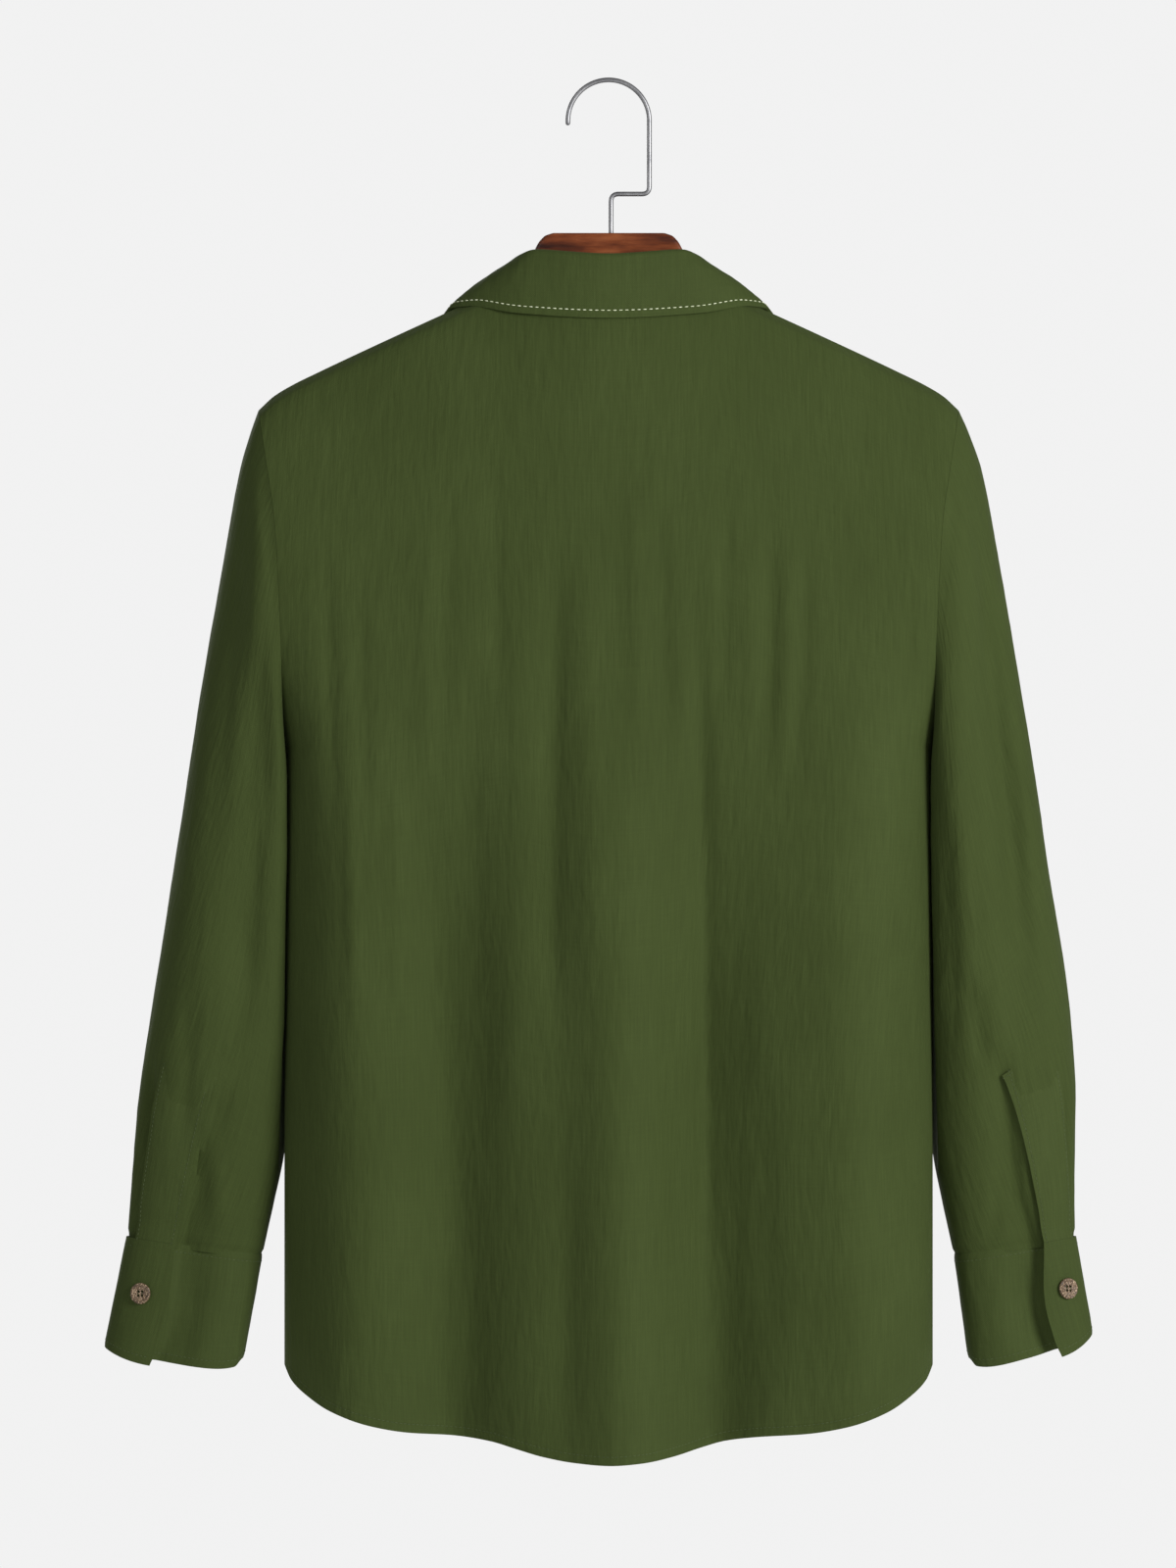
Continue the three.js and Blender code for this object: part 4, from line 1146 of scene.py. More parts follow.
SLEEVES = (
    Sleeve(
        side=Side.LEFT,
        outer=((-217.5, 232.5), (-232, 237.6), (-257, 244.6), (-309, 254.2), (-413, 271.8), (-517, 288),
               (-621, 304.2), (-673, 312), (-725, 316.4), (-765, 319.5)),
        inner=((-440, 215.5), (-480, 210), (-540, 207), (-610, 207), (-660, 209.5), (-712, 215.5),
               (-745, 222.5), (-777, 229.5)),
        cuff=CuffShape((319.5, -765.6), (229.5, -777.6), (334.4, -838.5), (242, -850), corner_drop=3.8,
                       tab_edge=TableCurve([(0, 79.5), (0.5, 81.5), (0.85, 79.5), (1, 76)]), button_turn=57.5,
                       strip_end_turns=(36, 80), tilt=0.6),
        folds=(
            TubeFold(96, 20, -6, 0.06, 0.7), TubeFold(140, 18, 4, 0.1, 0.75), TubeFold(10, 12, -5, 0.8, 1.15),
            TubeFold(255, 24, -8, 0.1, 0.85), TubeFold(310, 20, 4, 0.15, 0.8),
        ),
        creases=(
            Crease(((227, -245), (232, -320), (236, -410)), 7, 2.4, 0.2),
            Crease(((240, -250), (247, -340), (255, -450), (262, -560)), 8, -2.2),
            Crease(((262, -330), (272, -450), (284, -580)), 7, 1.4),
            Crease(((230, -470), (238, -570), (250, -690)), 8, -2.0),
            Crease(((262, -640), (262, -700), (256, -770)), 7, 1.8),
            Crease(((276, -590), (280, -660), (283, -720)), 6, -1.6),
        ),
        strip_troughs=(
            Crease(((300, -640), (309.5, -712), (317, -768), (318, -790)), 6, -7.5, 0, 0.25),
            Crease(((256, -655), (271, -712), (283, -770), (285, -800)), 9, -6.0, 0.6, 0.2),
        ),
    ),
    Sleeve(
        side=Side.RIGHT,
        outer=((-217.5, 232.5), (-232, 239), (-257, 247.6), (-309, 258), (-413, 275), (-517, 291.4),
               (-621, 306.8), (-673, 310), (-725, 309.6), (-765, 309.8)),
        inner=((-440, 215.5), (-480, 210), (-540, 207), (-610, 207), (-660, 209.5), (-712, 215.5),
               (-745, 222), (-777, 229)),
        cuff=CuffShape((309.8, -765.6), (229, -777.6), (321, -830), (238.5, -850), corner_drop=5.5,
                       tab_edge=TableCurve([(0, 70), (0.5, 76.5), (0.85, 72.5), (1, 67.5)]), button_turn=51.5,
                       strip_end_turns=(25, 70), tilt=2.8),
        folds=(
            TubeFold(62, 20, -8, 0.04, 0.72), TubeFold(105, 20, 4, 0.1, 0.8), TubeFold(10, 12, -5, 0.8, 1.15),
            TubeFold(262, 24, -8, 0.1, 0.85), TubeFold(305, 20, 4, 0.15, 0.8),
        ),
        creases=(
            Crease(((-237, -235), (-250, -335), (-259, -433), (-266, -498), (-272, -563), (-279, -602)),
                   9, -6.0, 0.2),
            Crease(((-233, -260), (-240, -350), (-246, -450)), 8, 2.0),
            Crease(((-236, -590), (-242, -620), (-249, -655)), 6, -2.2),
            Crease(((-262, -300), (-276, -420), (-288, -540)), 8, 1.8),
            Crease(((-252, -500), (-256, -590), (-262, -690)), 8, 1.6),
            Crease(((-222, -460), (-226, -560), (-232, -660)), 6, -1.8),
            Crease(((-262, -690), (-258, -730), (-252, -775)), 6, -1.6),
        ),
        strip_troughs=(
            Crease(((-300, -650), (-303, -710), (-308, -768), (-308, -790)), 4.5, -5, 0, 0.25),
            Crease(((-259, -630), (-267, -700), (-271, -736), (-278.5, -761), (-283.5, -778), (-284.5, -800)),
                   7.5, -5, -0.5, 0.22),
        ),
    ),
)


# Collar


class NeckLoop:
    """A smooth loop round the neck through a short table, the same on both sides."""

    def __init__(self, *rows: Sequence[float]) -> None:
        """Sets up a curve for each of X, Y and Z.

        Args:
            rows: the turn in degrees, 0 behind and 180 in front, and the X, Y and Z of its point.
        """
        self.x = TableCurve([(turn, x) for turn, x, _, _ in rows])
        self.y = TableCurve([(turn, y) for turn, _, y, _ in rows], level=True)
        self.z = TableCurve([(turn, z) for turn, _, _, z in rows], level=True)

    def at(self, turn: Array) -> Array:
        """The loop's points at turns from -180 to 180."""
        size = np.abs(turn)
        return np.stack([np.sign(turn) * self.x(size), self.y(size), self.z(size)], axis=-1)


@dataclass(frozen=True)
class Collar:
    """The turned-down collar and the stand that it turns over."""

    wall: float = 1.5
    end_turn: float = 175
    columns: int = 230
    roll_start: float = 0.4
    roll_centre: float = 1.6
    roll_height: float = 1.5
    roll_radius: float = 3.8
    roll_steps: int = 10
    fall_steps: int = 24
    bulge_out: float = 1.4
    bulge_up: float = 1.1
    stand_rows: int = 16
    stand_lift: float = 2.8
    stand_lift_from: float = 140
    stand_lift_full: float = 164
    seam_gap: float = 0.4
    lap_turn: float = 188.5
    topstitch_in: float = 5.0
    edge_roll: float = 0.5
    edge_roll_share: float = 0.025
    soft_from: Pair = (0.3, 0.5)
    soft_to: Pair = (0.93, 1)
    crinkle: Crinkle = Crinkle(seed=71, cell=11, stretch=1.4, rise=0.32, octaves=2)
    collar_cut: Cut = Cut((0.62, 0.075), 0.038)
    stand_cut: Cut = Cut((0.46, 0.035), 0.0115)
    fold: NeckLoop = NeckLoop(
        (0, 0, 26, -120), (45, 47.5, 17, -116.9), (60, 55, 12, -119.1), (75, 60.9, 5.5, -122.6),
        (90, 65.5, -3, -127), (135, 47, -30, -152), (180, 0, -41, -178),
    )
    edge: NeckLoop = NeckLoop(
        (0, 0, 31.6, -157.6), (35, 60, 23.4, -154), (62, 92, 8.2, -148.6), (84, 105.5, -3, -149.4),
        (104, 112, -14, -160), (128, 102, -31, -190), (152, 80, -43, -222), (176, 52, -52, -250),
    )

    def turns(self) -> Array:
        """The turns of the fall's columns."""
        return np.linspace(-self.end_turn, self.end_turn, self.columns + 1)

    def away(self, turn: Array) -> Array:
        """The level direction away from the neck."""
        ahead = self.fold.at(turn + 1) - self.fold.at(turn - 1)
        return unit(np.stack([-ahead[..., 1], ahead[..., 0], np.zeros_like(turn)], axis=-1))

    def roll_point(self, turn: Array, angle: Array) -> Array:
        """Points of the roll, at an angle up from level on the collar's outer side."""
        out = self.roll_centre + self.roll_radius * np.cos(angle)
        high = self.roll_height + self.roll_radius * np.sin(angle)
        return self.fold.at(turn) + self.away(turn) * out[..., None] + UP * high[..., None]

    def leaving_angle(self, turn: Array) -> Array:
        """The roll's angle at which a straight fall to the edge leaves it without a kink."""
        away = self.away(turn)
        reach = self.edge.at(turn) - self.fold.at(turn) - away * self.roll_centre - UP * self.roll_height
        out, down = (reach * away).sum(axis=-1), reach[..., 2]
        return np.arctan2(down, out) + np.arccos(self.roll_radius / np.hypot(out, down))

    def fall_point(self, turn: Array, share: Array) -> Array:
        """Points of the fall, from 0 where it leaves the roll to 1 at the collar's edge."""
        crest = self.roll_point(turn, self.leaving_angle(turn))
        hump = (self.away(turn) * self.bulge_out + UP * self.bulge_up) * (4 * share * (1 - share))[..., None]
        return lerp(crest, self.edge.at(turn), share[..., None]) + hump

    def fall_grid(self) -> Array:
        """The outer points of the collar, over the roll and down the fall."""
        turns = self.turns()
        away, top, leaving = self.away(turns), self.fold.at(turns), self.leaving_angle(turns)
        rows = [top + away * (self.roll_centre - self.roll_radius) + UP * self.roll_start]
        for share in np.linspace(0, 1, self.roll_steps + 1):
            rows.append(self.roll_point(turns, lerp(math.pi, leaving, share)))
        for share in np.linspace(0, 1, self.fall_steps + 1)[1:]:
            rows.append(self.fall_point(turns, np.full_like(turns, share)))
        return np.array(rows)

    def neck_seam(self, turn: Array) -> Array:
        """Points just above the neck seam."""
        size = np.abs(turn)
        face = np.where(size <= 90, 1, -1)
        x = SHAPE.neck_half_width * np.sin(np.radians(size))
        z = SHAPE.neck_z(x, face)
        depth = np.maximum(SHAPE.half_depth(SHAPE.shoulder(x) - z), SHAPE.half_seam)
        return np.stack([np.sign(turn) * x, face * depth, z + self.seam_gap], axis=-1)

    def stand_point(self, turn: Array, up: Array) -> Array:
        """Points of the stand, from 0 at the neck seam to 1 at the fold."""
        turn, up = np.broadcast_arrays(np.asarray(turn, float), np.asarray(up, float))
        over = smooth(turn, self.stand_lift_from, self.stand_lift_full) * self.stand_lift
        wrapped = np.where(np.abs(turn) > 180, turn - 360, turn)
        p = lerp(self.neck_seam(wrapped), self.fold.at(wrapped), up[..., None])
        return p - np.stack([np.zeros_like(over), over, np.zeros_like(over)], axis=-1)

    def build(self) -> None:
        """Builds and dresses the fall and the stand."""
        self.build_fall()
        self.build_stand()

    def build_fall(self) -> None:
        """Builds the fall, a little crumpled and rolled in at its edge."""
        grid = self.fall_grid()
        places = cloth_places(grid, False)
        shares = np.linspace(0, 1, len(grid))[:, None]
        soft = self.crinkle.at(places[..., 0], places[..., 1])
        soft = soft * smooth(shares, *self.soft_from) * (1 - smooth(shares, *self.soft_to))
        normals = grid_normals(grid, False)
        outward = normals * np.sign((normals[-8] * self.away(self.turns())).sum())
        edge = bell(shares - 1, self.edge_roll_share) * self.edge_roll
        grid = grid + outward * (soft - edge)[..., None]
        collar = wall_parts(grid, grid - outward * self.wall).build("shirt_collar")
        dress(collar, Finish.PRESSED, ["collar"])

    def build_stand(self) -> None:
        """Builds the stand, whose end laps over at the front."""
        turns = np.linspace(-180, self.lap_turn, self.columns + 1)
        turn, up = np.meshgrid(turns, np.linspace(1, 0, self.stand_rows + 1))
        stand = self.stand_point(turn, up)
        normals = grid_normals(stand, False)
        inward = normals * np.sign((normals * (stand.mean(axis=(0, 1)) - stand)).sum())
        inner = stand + inward * self.wall
        inner[-1, :, 2] = stand[-1, :, 2]
        band = wall_parts(stand, inner).build("shirt_collar_stand")
        dress(band, Finish.PRESSED, ["collar_stand"])


# Stitches


def new_tree(name: str, kind: str, inputs: Sequence[tuple[str, str]],
             outputs: Sequence[tuple[str, str]]) -> bpy.types.NodeTree:
    """Makes a node tree with named inputs and outputs.

    Args:
        name: the tree's name.
        kind: its type.
        inputs: each input's name and kind of value.
        outputs: each output's name and kind of value.

    Returns:
        The tree.
    """
    tree = bpy.data.node_groups.new(name, kind)
    for way, sockets in (("INPUT", inputs), ("OUTPUT", outputs)):
        for label, kind_of_value in sockets:
            tree.interface.new_socket(name=label, in_out=way, socket_type=f"NodeSocket{kind_of_value}")
    return tree


class NodeBoard:
    """Adds nodes to a tree and joins them."""

    def __init__(self, tree: bpy.types.NodeTree) -> None:
        """Keeps the tree."""
        self.tree = tree

    def add(self, kind: str, values: dict | None = None, **settings: object) -> bpy.types.Node:
        """Adds a node.

        Args:
            kind: the node's type.
            values: for each input, by name or number, a value or the output that feeds it.
            settings: the node's own settings.

        Returns:
            The node.
        """
        node = self.tree.nodes.new(kind)
        for key, value in settings.items():
            setattr(node, key, value)
        for key, value in (values or {}).items():
            if isinstance(value, Socket):
                self.tree.links.new(value, node.inputs[key])
            else:
                node.inputs[key].default_value = value
        return node

    def math(self, operation: str, a: object, b: object = 0.0) -> Socket:
        """The result of a Math node."""
        return self.add("ShaderNodeMath", {0: a, 1: b}, operation=operation).outputs[0]

    def stretched(self, vector: Socket, factors: object) -> Socket:
        """The vector times the factors."""
        return self.add("ShaderNodeVectorMath", {0: vector, 1: factors}, operation="MULTIPLY").outputs[0]


@dataclass(frozen=True)
class StitchRun:
    """How a line of stitches is sewn, in millimetres."""

    pitch: float
    dash: float
    radius: float
    finish: Finish

    @staticmethod
    def tree() -> bpy.types.NodeTree:
        """The tree that lays stitches along the edges of a mesh, made once."""
        name = "StitchesAlongEdges"
        if name in bpy.data.node_groups:
            return bpy.data.node_groups[name]
        inputs = [("Geometry", "Geometry"), ("Pitch", "Float"), ("Dash", "Float"), ("Radius", "Float"),
                  ("Thread", "Material")]
        tree = new_tree(name, "GeometryNodeTree", inputs, [("Geometry", "Geometry")])
        board = NodeBoard(tree)
        given = board.add("NodeGroupInput").outputs
        line = board.add("GeometryNodeMeshToCurve", {"Mesh": given["Geometry"]})
        spaced = board.add("GeometryNodeResampleCurve", {"Curve": line.outputs[0], "Length": given["Pitch"]},
                           mode="LENGTH")
        tangent = board.add("GeometryNodeInputTangent").outputs[0]
        turned = board.add("FunctionNodeAlignRotationToVector", {"Vector": tangent}, axis="X")
        bead = board.add("GeometryNodeMeshUVSphere", {"Segments": 6, "Rings": 5, "Radius": 1.0})
        half = board.math("MULTIPLY", given["Dash"], 0.5)
        size = board.add("ShaderNodeCombineXYZ", {0: half, 1: given["Radius"], 2: given["Radius"]})
        placed = board.add("GeometryNodeInstanceOnPoints", {
            "Points": spaced.outputs[0], "Instance": bead.outputs[0],
            "Rotation": turned.outputs[0], "Scale": size.outputs[0],
        })
        real = board.add("GeometryNodeRealizeInstances", {0: placed.outputs[0]})
        smoothed = board.add("GeometryNodeSetShadeSmooth", {0: real.outputs[0]})
        coloured = board.add("GeometryNodeSetMaterial",
                             {"Geometry": smoothed.outputs[0], "Material": given["Thread"]})
        board.add("NodeGroupOutput", {0: coloured.outputs[0]})
        return tree

    def sew(self, name: str, lines: Sequence[Array]) -> Piece:
        """Sews stitches along lines of points.

        Args:
            name: the piece's name.
            lines: arrays of points in millimetres.

        Returns:
            The stitches as one plain mesh.
        """
        points, edges = [], []
        for line in lines:
            start = len(points)
            points += (np.asarray(line) * MM).tolist()
            edges += [(start + i, start + i + 1) for i in range(len(line) - 1)]
        mesh = bpy.data.meshes.new(name)
        mesh.from_pydata(points, edges, [])
        obj, tree = new_object(name, mesh), self.tree()
        modifier = obj.modifiers.new("stitches", "NODES")
        modifier.node_group = tree
        values = {"Pitch": self.pitch * MM, "Dash": self.dash * MM, "Radius": self.radius * MM,
                  "Thread": bpy.data.materials[self.finish.value]}
        for item in tree.interface.items_tree:
            if item.name in values and item.in_out == "INPUT":
                modifier[item.identifier] = values[item.name]
        stitches = evaluated_mesh(obj)
        obj.modifiers.clear()
        obj.data = stitches
        dress(obj, self.finish)
        return obj


@dataclass(frozen=True)
class Seams:
    """The lines of sewing on the shirt."""

    collar: Collar
    body: ShirtBody
    topstitch: StitchRun = StitchRun(4.0, 2.7, 0.3, Finish.PALE_THREAD)
    seam: StitchRun = StitchRun(3.0, 2.2, 0.18, Finish.SELF_THREAD)
    topstitch_off: Pair = (0.35, 0.1)
    seam_off: float = 0.1
    hem_off: float = 0.15
    hem_reach: float = 0.985
    hem_columns: int = 240
    hem_rows: int = 16

    def inset(self, grid: Array, inner_row: int, distance: float) -> Array:
        """A line on a grid, a distance in from its last row.

        Args:
            grid: rows of points.
            inner_row: a row further in, past the distance.
            distance: how far in the line runs.

        Returns:
            The line's points.
        """
        rows = grid[: inner_row - 1 : -1]
        steps = np.linalg.norm(np.diff(rows, axis=0), axis=2)
        reach = np.concatenate([np.zeros((1, grid.shape[1])), np.cumsum(steps, axis=0)])
        return np.array([[np.interp(distance, reach[:, j], rows[:, j, k]) for k in range(3)]
                         for j in range(grid.shape[1])])

    def build(self) -> None:
        """Sews the collar's pale topstitch and the seams in the cloth's own colour."""
        fall = self.collar.fall_grid()
        line = self.inset(fall, len(fall) - 10, self.collar.topstitch_in)
        out, up = self.topstitch_off
        self.topstitch.sew("stitches_collar", [line + self.collar.away(self.collar.turns()) * out + UP * up])
        self.seam.sew("stitches_hem", self.hem_lines())
        for sleeve in SLEEVES:
            self.seam.sew(f"stitches_sleeve_{sleeve.side.label}", self.sleeve_lines(sleeve))

    def hem_lines(self) -> list[Array]:
        """The hem's line all round and the front strip's two lines."""
        lines = []
        shares = np.linspace(-self.hem_reach, self.hem_reach, self.hem_columns)
        for face in Face:
            share, edge_z = np.meshgrid(shares, self.body.rows()[-self.hem_rows :])
            lift = self.body.left_lift(share) if face is Face.FRONT else 0.0
            grid = SHAPE.point(share, edge_z, face.value, lift, self.body.relief(face))
            grid[..., 1] += face.value * (HEM.rise_at(grid) + self.hem_off)
            lines.append(self.inset(grid, 2, HEM.width - HEM.sewn_in))
        strip = self.body.strip_grid()
        return lines + [strip[:, column] - [0, self.seam_off, 0] for column in (2, -3)]

    def sleeve_lines(self, sleeve: Sleeve) -> list[Array]:
        """The lines round a cuff, from past its tab at the top, and round its strip."""
        cuff, strip = sleeve.cuff_grid(), sleeve.strip_grid()
        lines = []
        for row, start in ((2, cuff.shape[1] // 8), (-3, 2)):
            points = cuff[row, start:-2]
            lines.append(points + unit(points - cuff[row].mean(axis=0)) * self.seam_off)
        return lines + [edge + [0, self.seam_off, 0] for edge in (strip[:, 1], strip[:, -2], strip[1])]


# Buttons


@dataclass(frozen=True)
class Buttons:
    """The coconut buttons: seven down the front, one on the collar stand and one on each cuff."""

    collar: Collar
    body: ShirtBody
    radius: float = 7.0
    thickness: float = 2.6
    rim: float = 1.6
    dish: float = 0.7
    hole_radius: float = 0.95
    hole_out: float = 1.9
    sides: int = 56
    thread: float = 0.26
    seat: float = 0.3
    count: int = 7
    first_z: float = -238
    pitch: float = 88
    collar_z: float = -191
    collar_reach: Pair = (9, 0.22)
    cuff_down: float = 0.44
    cuff_reach: Pair = (10, 0.1)
    thread_places: tuple[float, ...] = (-1, -0.75, 0, 0.75, 1)
    thread_heights: tuple[float, ...] = (-0.5, 0.1, 0.25, 0.1, -0.5)

    def profile(self) -> list[Pair]:
        """The button's outline as radius and height, from the middle of its back round to its face."""
        r, t, rim = self.radius, self.thickness, self.rim
        return [
            (0.2, 0.0), (r * 0.5, 0.0), (r * 0.82, 0.05), (r * 0.93, t * 0.2), (r * 0.985, t * 0.38),
            (r, t * 0.5), (r - 0.05, t * 0.7), (r - 0.3, t * 0.9), (r - rim * 0.35 - 0.1, t - 0.02),
            (r - rim * 0.65, t), (r - rim, t - 0.12), (r - rim * 1.3, t - self.dish * 0.6),
            (r - rim * 1.7, t - self.dish), (r * 0.4, t - self.dish + 0.08), (0.2, t - self.dish + 0.1),
        ]

    def blank(self) -> bpy.types.Mesh:
        """One button with its four holes, at the origin, with its face towards +Y."""
        turns = np.linspace(0, 2 * math.pi, self.sides, endpoint=False)
        rings = [np.stack([r * np.cos(turns), np.full_like(turns, h), r * np.sin(turns)], axis=1)
                 for r, h in self.profile()]
        tips = np.array([[0, 0, 0], [0, self.thickness - self.dish + 0.1, 0]], float)
        disc = capped_parts(np.array(rings), tips).build("button_blank")
        drills = MeshParts()
        for quarter in range(4):
            angle = math.pi * (0.25 + 0.5 * quarter)
            foot = np.array([math.cos(angle) * self.hole_out, -2.0, math.sin(angle) * self.hole_out])
            path = np.array([foot, foot + [0, 3.0, 0], foot + [0, 7.0, 0]])
            tube = tube_parts(path, self.hole_radius, 14)
            drills.add(tube.points[0], tube.faces[0], tube.places[0])
        drill = drills.build("button_drill")
        mesh = drilled(disc, drill)
        bpy.data.objects.remove(disc)
        return mesh

    def seated(self, surface: Callable[[float, float], Array], at: Pair,
               span: Pair, face: Face) -> tuple[Array, Array]:
        """Where a button lies on a surface.

        Args:
            surface: the surface's point at two values.
            at: the two values under the button's middle.
            span: how far the button reaches in each value.
            face: the side that it looks to.

        Returns:
            The turn, as a 3 by 3 matrix, and the place of the button's back.
        """
        def point(i: int, j: int) -> Array:
            """The surface i and j spans away from the middle."""
            return surface(at[0] + i * span[0], at[1] + j * span[1])

        middle = point(0, 0)
        away = unit(np.cross(point(1, 0) - point(-1, 0), point(0, 1) - point(0, -1)))
        if away[1] * face.value < 0:
            away = -away
        reach = max(float(np.dot(point(i, j) - middle, away)) for i in (-1, 0, 1) for j in (-1, 0, 1))
        side = unit(np.cross(away, UP))
        turn = np.stack([side, away, np.cross(side, away)], axis=1)
        return turn, middle + away * (reach + self.seat)

    def place(self, blank: bpy.types.Mesh, name: str, node: str, turn: Array, at: Array) -> None:
        """Sets one button and its thread in their place.

        Args:
            blank: the button's mesh.
            name: the piece's name.
            node: the solid that it replaces.
            turn: its turn, as a 3 by 3 matrix.
            at: its place in millimetres.
        """
        mesh = blank.copy()
        co = np.empty(len(mesh.vertices) * 3)
        mesh.vertices.foreach_get("co", co)
        co = co.reshape(-1, 3) @ turn.T + at * MM
        mesh.vertices.foreach_set("co", co.ravel())
        dress(new_object(name, mesh), Finish.COCONUT, [node])
        thread = MeshParts()
        top = self.thickness - self.dish
        half = self.hole_out * math.sqrt(0.5)
        for x in (-half, half):
            z, y = half * np.array(self.thread_places), top + np.array(self.thread_heights)
            tube = tube_parts(np.stack([np.full_like(z, x), y, z], axis=1), self.thread / 2, 8)
            thread.add(tube.points[0], tube.faces[0], tube.places[0])
        sewn = move_parts(thread, turn, at).build(f"{name}_thread")
        dress(sewn, Finish.SELF_THREAD)

    def build(self) -> None:
        """Builds all ten buttons."""
        def strip(share: float, height: float) -> Array:
            """A point of the front strip."""
            return SHAPE.point(share, height, -1, self.body.strip_lift)

        blank = self.blank()
        hem = float(SHAPE.front_hem(0.0))
        span = (self.radius / SHAPE.tip_x, self.radius)
        for i in range(self.count):
            z = self.first_z - i * self.pitch
            fall = (SHAPE.front_neck_z - z) / (SHAPE.front_neck_z - hem)
            edge_z = lerp(SHAPE.tip_z, SHAPE.side_hem_z, fall)
            turn, at = self.seated(strip, (0.0, edge_z), span, Face.FRONT)
            self.place(blank, f"front_button_{i + 1}", f"button_front_{i + 1}", turn, at)
        front = float(self.collar.fold.at(np.array(180.0))[2])
        up = (self.collar_z - SHAPE.front_neck_z) / (front - SHAPE.front_neck_z)
        turn, at = self.seated(self.collar.stand_point, (180.0, up), self.collar_reach, Face.FRONT)
        self.place(blank, "collar_button", "button_collar", turn, at)
        for sleeve in SLEEVES:
            def tab(turn: float, down: float, sleeve: Sleeve = sleeve) -> Array:
                """A point of the cuff's tab."""
                return sleeve.cuff_point(np.asarray(down), np.asarray(turn), sleeve.tab_lift(turn))

            label, middle = sleeve.side.label, (sleeve.cuff.button_turn, self.cuff_down)
            turn, at = self.seated(tab, middle, self.cuff_reach, Face.BACK)
            self.place(blank, f"cuff_button_{label}", f"button_cuff_{label}", turn, at)
        bpy.data.meshes.remove(blank)


# Hanger


